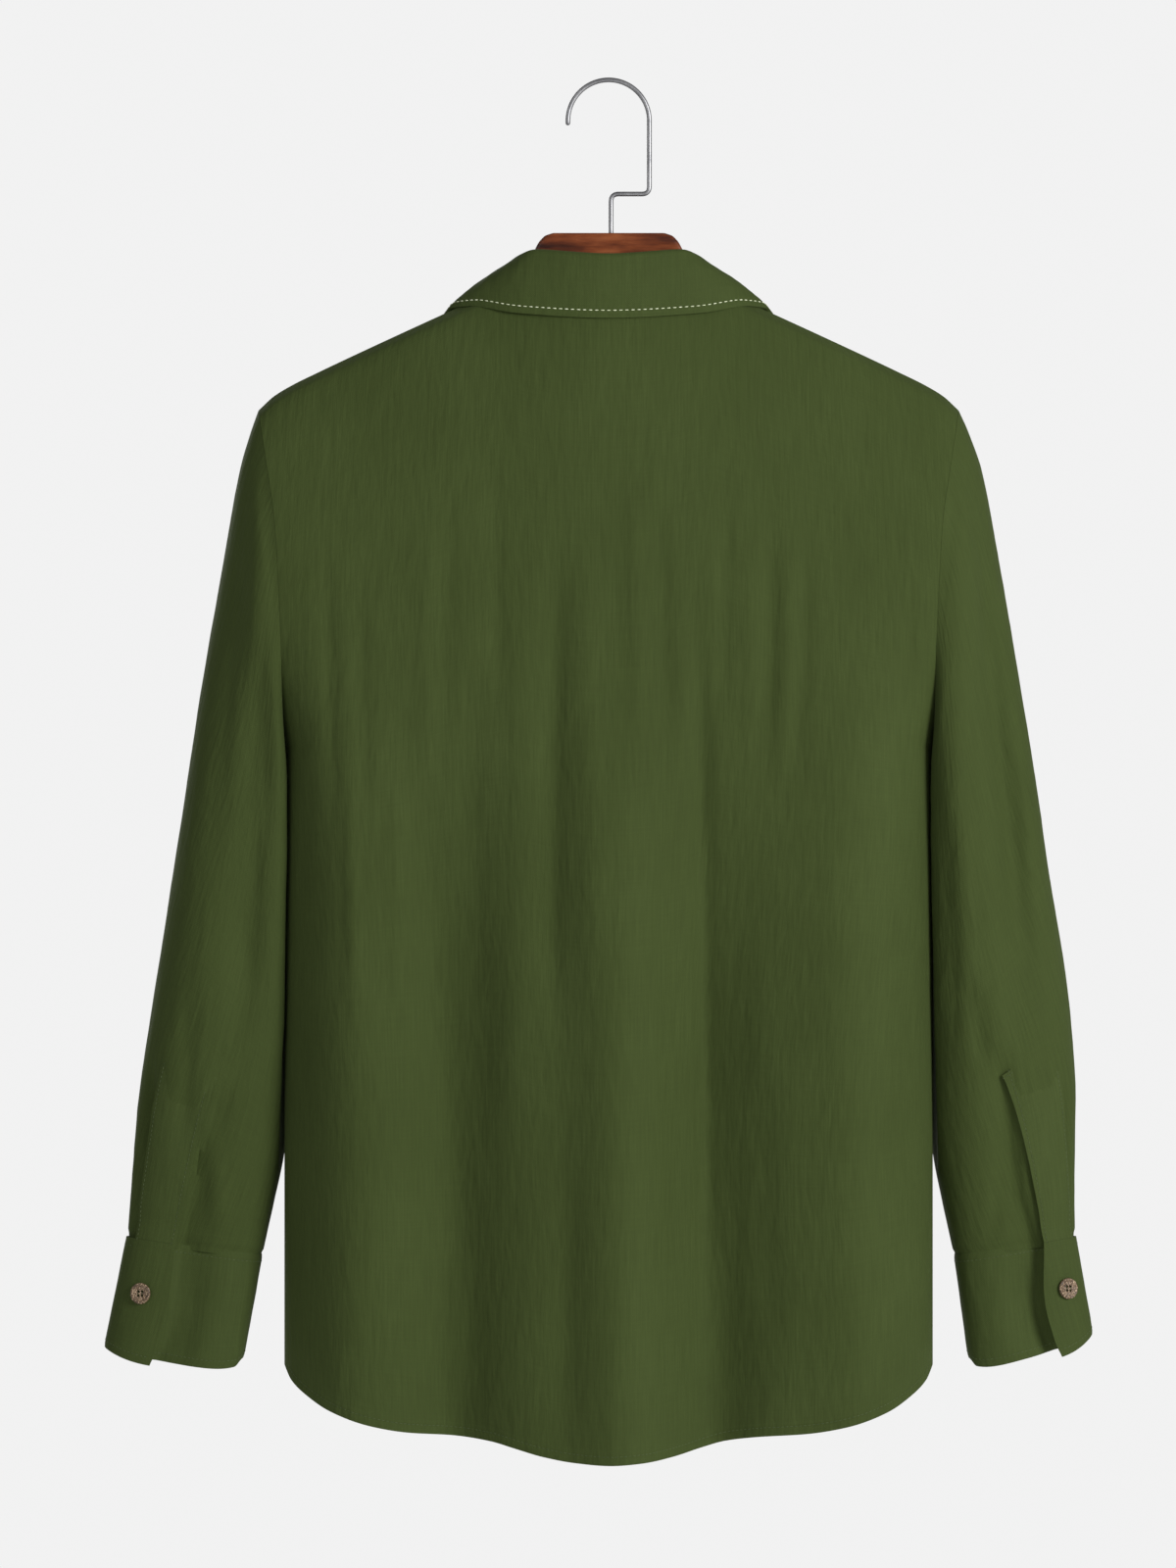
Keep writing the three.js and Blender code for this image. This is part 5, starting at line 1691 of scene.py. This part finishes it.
@dataclass(frozen=True)
class Hanger:
    """The wooden hanger with its wire hook."""

    half_thickness: float = 6.0
    under_cloth: float = 4.6
    arm_height: float = 34
    tip_height: float = 20
    tip_x: float = 214
    hump: tuple[Pair, ...] = (
        (0, -100), (37, -100), (42.5, -101.8), (46.5, -106), (49.5, -112), (60, -142), (80, -142.3))
    hump_end: float = 60
    arm_start: float = 84
    neck_z: float = -142.0
    under_places: tuple[float, ...] = (0, 70, 140, 202, 212, 217)
    middle_taper: float = 0.6
    tip_rises: Pair = (3, 13)
    spans: tuple[tuple[float, float, int], ...] = ((0, 64, 70), (66, 205, 50), (206, 216.5, 12))
    tip_round: Pair = (-3, 3.5)
    tip_shrink: float = 0.55
    edge_power: float = 0.38
    edge_radius: float = 4.0
    tip_out: float = 0.4
    sides: int = 36
    wire: float = 1.6
    hole: float = 1.95
    hole_below: float = 0.35
    hole_tops: Pair = (-110, -80)
    arch_radius: float = 27
    arch_z: float = -25.4
    arch_end: float = 1.6
    stem_x: float = -1.6
    stem_end_z: float = -124
    jog_z: float = -74.1
    bend: float = 5

    def under(self, x: Array) -> Array:
        """The top edge of the arms, under the cloth of the shoulders."""
        return SHAPE.shoulder(x) - self.under_cloth

    def outline(self, x: Array) -> tuple[Array, Array]:
        """The hanger's edges as seen from behind.

        Args:
            x: places along it.

        Returns:
            The heights of the top and bottom edges.
        """
        size = np.abs(x)
        hump = np.interp(size, *zip(*self.hump))
        share = (size - self.hump_end) / (self.arm_start - self.hump_end)
        dip = lerp(self.neck_z, self.under(self.arm_start), share)
        arm = self.under(np.minimum(size, self.tip_x))
        top = np.where(size < self.hump_end, hump, np.where(size < self.arm_start, dip, arm))
        thick = self.under(self.under_places[1]) - self.arm_height
        middle = self.under(self.under_places[2]) - lerp(self.arm_height, self.tip_height, self.middle_taper)
        low = self.under(self.tip_x) - self.tip_height
        heights = [thick, thick, middle, low, *(low + rise for rise in self.tip_rises)]
        return top, np.interp(size, self.under_places, heights)

    def build_wood(self) -> None:
        """Builds the wooden part, with the hole for the hook."""
        half = np.concatenate([np.linspace(*span) for span in self.spans])
        xs = np.concatenate([-half[:0:-1], half])
        top, bottom = self.outline(xs)
        kernel = np.ones(3) / 3
        for edge in (top, bottom):
            edge[1:-1] = np.convolve(edge, kernel, "valid")
        turns = np.linspace(0, 2 * math.pi, self.sides, endpoint=False)
        out, up = np.cos(turns), np.sin(turns)
        rings = []
        for x, high, low in zip(xs, top, bottom):
            tip = 1 - smooth(abs(x), *(self.tip_x + reach for reach in self.tip_round)) * self.tip_shrink
            wide, tall = self.half_thickness * tip, (high - low) / 2 * tip
            upright = min(self.edge_power, self.edge_radius / max(tall, self.edge_radius))
            y = wide * np.sign(out) * np.abs(out) ** self.edge_power
            z = (high + low) / 2 + tall * np.sign(up) * np.abs(up) ** upright
            rings.append(np.stack([np.full_like(y, x), y, z], axis=1))
        tips = np.array([[xs[end] + way * self.tip_out, 0, (top[end] + bottom[end]) / 2]
                         for end, way in ((0, -1), (-1, 1))])
        wood = capped_parts(np.array(rings), tips).build("hanger_wood")
        heights = (self.stem_end_z - self.hole_below, *self.hole_tops)
        path = np.array([[self.stem_x, 0, z] for z in heights])
        wood.data = drilled(wood, tube_parts(path, self.hole, 20).build("hanger_drill"))
        dress(wood, Finish.WOOD, ["hanger"])

    def hook_path(self) -> Array:
        """The wire's middle line, from the bottom of its stem to its free end."""
        def corner(a: Pair, b: Pair, c: Pair) -> Array:
            """A rounded corner from a to c, with b at its point."""
            t = np.linspace(0, 1, 9)[:, None]
            return (1 - t) ** 2 * np.array(a) + 2 * t * (1 - t) * np.array(b) + t**2 * np.array(c)

        def upright(x: float, low: float, high: float, count: int) -> Array:
            """A straight stretch upwards."""
            return np.stack([np.full(count, x), np.linspace(low, high, count)], axis=1)

        stem, side, jog, bend = self.stem_x, -self.arch_radius, self.jog_z, self.bend
        turns = np.linspace(math.pi, 0, 61)
        arch = np.stack([np.cos(turns), np.sin(turns)], axis=1) * self.arch_radius + [0, self.arch_z]
        flat = np.concatenate([
            upright(stem, self.stem_end_z, jog - bend - 1, 8),
            corner((stem, jog - bend), (stem, jog), (stem - bend, jog)),
            [[stem - bend - 3, jog], [side + bend + 3, jog]],
            corner((side + bend, jog), (side, jog), (side, jog + bend)),
            upright(side, jog + bend + 1, self.arch_z - 1, 6),
            arch,
            [[self.arch_radius, self.arch_z - self.arch_end]],
        ])
        return np.stack([flat[:, 0], np.zeros(len(flat)), flat[:, 1]], axis=1)

    def build(self) -> None:
        """Builds the wood and the wire."""
        self.build_wood()
        wire = tube_parts(self.hook_path(), self.wire, 20).build("hanger_hook")
        dress(wire, Finish.STEEL, ["hook"])


# Finishes


def mottle_group() -> None:
    """Makes a shader group that varies a value from place to place, from 0 to 1 about a middle of 0.5."""
    inputs = [("Vector", "Vector"), ("Stretch", "Vector"), ("Scale", "Float"), ("Contrast", "Float")]
    board = NodeBoard(new_tree("Mottle", "ShaderNodeTree", inputs, [("Value", "Float")]))
    given = board.add("NodeGroupInput").outputs
    placed = board.stretched(given["Vector"], given["Stretch"])
    noise = board.add("ShaderNodeTexNoise", {"Vector": placed, "Scale": given["Scale"], "Detail": 4.0})
    raised = board.math("MULTIPLY", board.math("SUBTRACT", noise.outputs[0], 0.5), given["Contrast"])
    shifted = board.add("ShaderNodeMath", {0: raised, 1: 0.5}, operation="ADD", use_clamp=True)
    board.add("NodeGroupOutput", {0: shifted.outputs[0]})


def weave_group() -> None:
    """Makes a shader group for plain weave: the height of the threads, with thick places in some."""
    inputs = [("Vector", "Vector"), ("Threads", "Float"), ("Slub", "Float")]
    outputs = [("Height", "Float"), ("Slub", "Float")]
    board = NodeBoard(new_tree("PlainWeave", "ShaderNodeTree", inputs, outputs))
    given = board.add("NodeGroupInput").outputs
    scaled = board.add("ShaderNodeVectorMath", {0: given["Vector"], "Scale": given["Threads"]},
                       operation="SCALE")
    parts = board.add("ShaderNodeSeparateXYZ", {0: scaled.outputs[0]})
    waves = [board.math("SINE", board.math("MULTIPLY", parts.outputs[k], math.pi)) for k in (0, 1)]
    slubs = []
    for stretch, share in (((900.0, 28.0, 1.0), 0.7), ((30.0, 900.0, 1.0), 0.3)):
        noise = board.add("ShaderNodeTexNoise", {
            "Vector": board.stretched(given["Vector"], stretch), "Scale": 1.0, "Detail": 2.0})
        slubs.append(board.math("MULTIPLY", noise.outputs[0], share))
    slub = board.math("ADD", *slubs)
    over = board.math("MULTIPLY", board.math("MULTIPLY", *waves), 0.25)
    height = board.math("ADD", over, board.math("MULTIPLY", slub, given["Slub"]))
    board.add("NodeGroupOutput", {0: height, 1: slub})


class Surface(NodeBoard):
    """The nodes of a finish's new material, which feed its Principled shader."""

    def __init__(self, finish: Finish) -> None:
        """Makes the material."""
        material = bpy.data.materials.new(finish.value)
        material.use_nodes = True
        super().__init__(material.node_tree)
        self.shader = material.node_tree.nodes["Principled BSDF"]
        self.normal: dict[str, Socket] = {}

    def feed(self, name: str, value: Socket) -> None:
        """Joins a value to one of the shader's inputs."""
        self.tree.links.new(value, self.shader.inputs[name])

    def place(self) -> Socket:
        """The place on the piece, in metres of the shared frame."""
        return self.add("ShaderNodeTexCoord").outputs["Object"]

    def group(self, name: str, values: dict) -> bpy.types.Node:
        """Sets one of the shader groups in."""
        return self.add("ShaderNodeGroup", values, node_tree=bpy.data.node_groups[name])

    def mottle(self, vector: Socket, stretch: Triple, scale: float,
               contrast: float) -> Socket:
        """The value of the mottle group."""
        values = {"Vector": vector, "Stretch": stretch, "Scale": scale, "Contrast": contrast}
        return self.group("Mottle", values).outputs[0]

    def blend(self, a: Socket, share_a: float, b: Socket,
              share_b: float) -> Socket:
        """The sum of two values, each times its share."""
        return self.math("ADD", self.math("MULTIPLY", a, share_a), self.math("MULTIPLY", b, share_b))

    def colour(self, value: Socket, stops: Sequence[tuple[float, Triple]]) -> None:
        """Colours the surface through a ramp of places and colours."""
        node = self.add("ShaderNodeValToRGB", {0: value})
        elements = node.color_ramp.elements
        while len(elements) < len(stops):
            elements.new(0.5)
        for element, (place, colour) in zip(elements, stops):
            element.position = place
            element.color = (*colour, 1)
        self.feed("Base Color", node.outputs[0])

    def rough(self, value: Socket, low: float, high: float) -> None:
        """Varies the roughness from low to high with a value."""
        self.feed("Roughness", self.add("ShaderNodeMapRange", {0: value, 3: low, 4: high}).outputs[0])

    def bump(self, height: Socket, strength: float, distance: float) -> None:
        """Lays low relief over what relief there is, with its distance in millimetres."""
        values = {"Height": height, "Strength": strength, "Distance": distance * MM, **self.normal}
        self.normal = {"Normal": self.add("ShaderNodeBump", values).outputs[0]}
        self.feed("Normal", self.normal["Normal"])

    def even(self, values: dict[str, object]) -> None:
        """Sets what is the same all over on the shader's own inputs."""
        for name, value in values.items():
            self.shader.inputs[name].default_value = value


@dataclass(frozen=True)
class LinenFinish:
    """Olive linen: its shades and how strongly it is crumpled."""

    finish: Finish
    dark: Triple = (0.0355, 0.0500, 0.0119)
    middle: Triple = (0.0415, 0.0588, 0.0146)
    light: Triple = (0.051, 0.071, 0.0192)
    threads: float = 1500.0
    crumple: float = 0.5
    slub: float = 0.8
    roughness: float = 0.82

    def build(self) -> None:
        """Makes the material."""
        surface = Surface(self.finish)
        cloth = surface.add("ShaderNodeUVMap", uv_map="UVMap").outputs[0]
        weave = surface.group("PlainWeave", {"Vector": cloth, "Threads": self.threads, "Slub": self.slub})
        slub = weave.outputs["Slub"]
        crumple = surface.mottle(cloth, (1.0, 0.28, 1.0), 190.0, 1.6)
        patches = surface.mottle(cloth, (1.0, 0.6, 1.0), 14.0, 1.0)
        surface.colour(surface.blend(slub, 0.62, patches, 0.38),
                       [(0.32, self.dark), (0.5, self.middle), (0.7, self.light)])
        surface.rough(slub, self.roughness - 0.08, self.roughness + 0.1)
        surface.bump(crumple, self.crumple, 1.1)
        surface.bump(weave.outputs["Height"], 0.55, 0.22)
        surface.even({"Sheen Weight": 0.05, "Sheen Roughness": 0.5, "Sheen Tint": (0.55, 0.7, 0.3, 1),
                      "Specular IOR Level": 0.12})


@dataclass(frozen=True)
class ThreadFinish:
    """Sewing thread in one colour, with the twist of its plies."""

    finish: Finish
    dark: Triple
    light: Triple

    def build(self) -> None:
        """Makes the material."""
        surface = Surface(self.finish)
        place = surface.place()
        surface.colour(surface.mottle(place, (1.0, 1.0, 1.0), 900.0, 1.6),
                       [(0.3, self.dark), (0.7, self.light)])
        twist = surface.add("ShaderNodeTexWave", {"Vector": place, "Scale": 700.0, "Distortion": 1.0},
                            bands_direction="DIAGONAL")
        surface.bump(twist.outputs["Fac"], 0.5, 0.08)
        surface.even({"Roughness": 0.6})


def coconut_material() -> None:
    """Brown coconut shell with pale flecks and the look of carving, with painted shade: darker in the
    carving's grooves and lighter on its high places.
    """
    surface = Surface(Finish.COCONUT)
    place = surface.place()
    cells = surface.add("ShaderNodeTexVoronoi", {"Vector": place, "Scale": 780.0}, feature="DISTANCE_TO_EDGE")
    fibres = surface.mottle(place, (1.0, 1.0, 0.3), 1100.0, 2.2)
    depth = surface.math("MINIMUM", surface.math("MULTIPLY", cells.outputs["Distance"], 2.4), 1.0)
    carving_and_groove_shade = surface.blend(depth, 0.55, fibres, 0.45)
    # Painted shade: the colour follows the carving's height, darker in its grooves and lighter on its high
    # places.
    surface.colour(carving_and_groove_shade, [(0.2, (0.040, 0.022, 0.012)), (0.40, (0.13, 0.078, 0.040)),
                            (0.60, (0.33, 0.23, 0.14)), (0.85, (0.62, 0.49, 0.34))])
    surface.rough(fibres, 0.38, 0.62)
    surface.bump(carving_and_groove_shade, 0.9, 0.35)


def wood_material() -> None:
    """Reddish brown hardwood with its grain along the hanger, under clear varnish."""
    surface = Surface(Finish.WOOD)
    place = surface.place()
    streaks = surface.mottle(place, (0.16, 1.0, 1.0), 260.0, 2.4)
    broad = surface.mottle(place, (0.35, 1.0, 1.0), 55.0, 2.2)
    pores = surface.mottle(place, (0.05, 1.0, 1.0), 1500.0, 2.0)
    surface.colour(surface.blend(streaks, 0.4, broad, 0.6), [
        (0.2, (0.025, 0.005, 0.002)), (0.44, (0.095, 0.020, 0.005)),
        (0.62, (0.17, 0.040, 0.010)), (0.85, (0.27, 0.078, 0.024))])
    surface.rough(pores, 0.28, 0.5)
    surface.bump(pores, 0.25, 0.12)
    surface.even({"Coat Weight": 0.1, "Specular IOR Level": 0.2, "Coat Roughness": 0.12})


def steel_material() -> None:
    """Drawn steel wire: satin, with fine lines along it."""
    surface = Surface(Finish.STEEL)
    place = surface.place()
    lines = surface.mottle(place, (1.0, 1.0, 0.2), 1600.0, 1.8)
    stain = surface.mottle(place, (1.0, 1.0, 1.0), 90.0, 1.4)
    surface.colour(stain, [(0.2, (0.22, 0.22, 0.23)), (0.8, (0.36, 0.36, 0.37))])
    surface.rough(lines, 0.34, 0.50)
    surface.bump(lines, 0.2, 0.05)
    surface.even({"Metallic": 1.0})


def build_finishes() -> None:
    """Makes the shader groups and all materials."""
    mottle_group()
    weave_group()
    LinenFinish(Finish.LINEN).build()
    LinenFinish(Finish.PRESSED, crumple=0.3, slub=0.6, roughness=0.78).build()
    ThreadFinish(Finish.SELF_THREAD, (0.040, 0.062, 0.018), (0.080, 0.108, 0.036)).build()
    ThreadFinish(Finish.PALE_THREAD, (0.60, 0.66, 0.40), (0.90, 0.94, 0.70)).build()
    coconut_material()
    wood_material()
    steel_material()


# Studio


@dataclass(frozen=True)
class SoftLight:
    """A large round light: its name, its place and size in metres, and its power in watts."""

    name: str
    place: Triple
    size: float
    power: float

    def build(self, aim: Triple) -> None:
        """Adds the light, pointed at the aim."""
        light = bpy.data.lights.new(self.name, "AREA")
        light.shape, light.size, light.energy = "DISK", self.size, self.power
        obj = new_object(self.name, light)
        obj.location = self.place
        x, y, z = np.array(aim) - np.array(self.place)
        obj.rotation_euler = (math.atan2(math.hypot(x, y), -z), 0, math.atan2(y, x) - math.pi / 2)


@dataclass(frozen=True)
class Studio:
    """The floor, the light and the camera of the photograph's view, in metres where nothing else is said."""

    image_height: int = 1600
    photo_mm_per_pixel: float = 0.65
    origin_pixel: Pair = (621, 84)
    image_middle: Pair = (600, 800)
    distance: float = 7.5
    sensor: float = 24.0
    floor_z: float = -1.2
    floor_half: float = 6.0
    floor_front: float = -2.4
    background: float = 0.885
    ambient: float = 0.30
    aim: Triple = (0.0, 0.0, -0.5)
    lights: tuple[SoftLight, ...] = (
        SoftLight("key", (-2.7, 2.75, 0.35), 1.6, 142.0),
        SoftLight("fill", (2.4, 3.9, 0.5), 3.0, 35.0),
        SoftLight("far side", (1.6, -4.2, 0.8), 3.0, 60.0),
    )

    def build(self) -> None:
        """Builds the camera, the lights, the world and the floor."""
        self.build_camera()
        self.build_world()
        for light in self.lights:
            light.build(self.aim)
        self.build_floor()
        bpy.context.scene.view_settings.view_transform = "Standard"

    def build_camera(self) -> None:
        """Sets the camera level, behind the shirt, with the photograph's frame."""
        camera = bpy.data.cameras.new("photo_camera")
        camera.sensor_fit, camera.sensor_height = "VERTICAL", self.sensor
        height = self.image_height * self.photo_mm_per_pixel * MM
        camera.lens = self.distance * self.sensor / height
        obj = new_object("photo_camera", camera)
        x = (self.origin_pixel[0] - self.image_middle[0]) * self.photo_mm_per_pixel * MM
        z = -(self.image_middle[1] - self.origin_pixel[1]) * self.photo_mm_per_pixel * MM
        obj.location = (x, self.distance, z)
        obj.rotation_euler = (math.radians(90), 0, math.radians(180))
        bpy.context.scene.camera = obj

    def build_world(self) -> None:
        """Sets a plain pale surround that the camera sees and a softer one that lights the shirt."""
        world = bpy.data.worlds.new("surround")
        world.use_nodes = True
        bpy.context.scene.world = world
        board = NodeBoard(world.node_tree)
        shown = world.node_tree.nodes["Background"]
        shown.inputs[0].default_value = (1, 1, 1, 1)
        shown.inputs[1].default_value = self.background
        light = board.add("ShaderNodeBackground", {0: (1, 1, 1, 1), 1: self.ambient})
        seen = board.add("ShaderNodeLightPath").outputs["Is Camera Ray"]
        mix = board.add("ShaderNodeMixShader", {0: seen, 1: light.outputs[0], 2: shown.outputs[0]})
        board.tree.links.new(mix.outputs[0], world.node_tree.nodes["World Output"].inputs[0])

    def build_floor(self) -> None:
        """Lays a plain pale floor below the shirt."""
        half, front, z = self.floor_half, self.floor_front, self.floor_z
        mesh = bpy.data.meshes.new("floor")
        corners = [(-half, front, z), (half, front, z), (half, half, z), (-half, half, z)]
        mesh.from_pydata(corners, [], [(0, 1, 2, 3)])
        floor = new_object("floor", mesh)
        Surface(Finish.FLOOR).even({"Base Color": (0.82, 0.82, 0.82, 1), "Roughness": 0.8})
        mesh.materials.append(bpy.data.materials[Finish.FLOOR.value])


def main() -> None:
    """Builds the studio and the shirt, piece by piece."""
    logging.basicConfig(level=logging.INFO, format="%(name)s %(message)s")
    Studio().build()
    build_finishes()
    body, collar = ShirtBody(), Collar()
    body.build()
    for sleeve in SLEEVES:
        sleeve.build()
    collar.build()
    Buttons(collar, body).build()
    Hanger().build()
    Seams(collar, body).build()


if __name__ == "__main__":
    main()
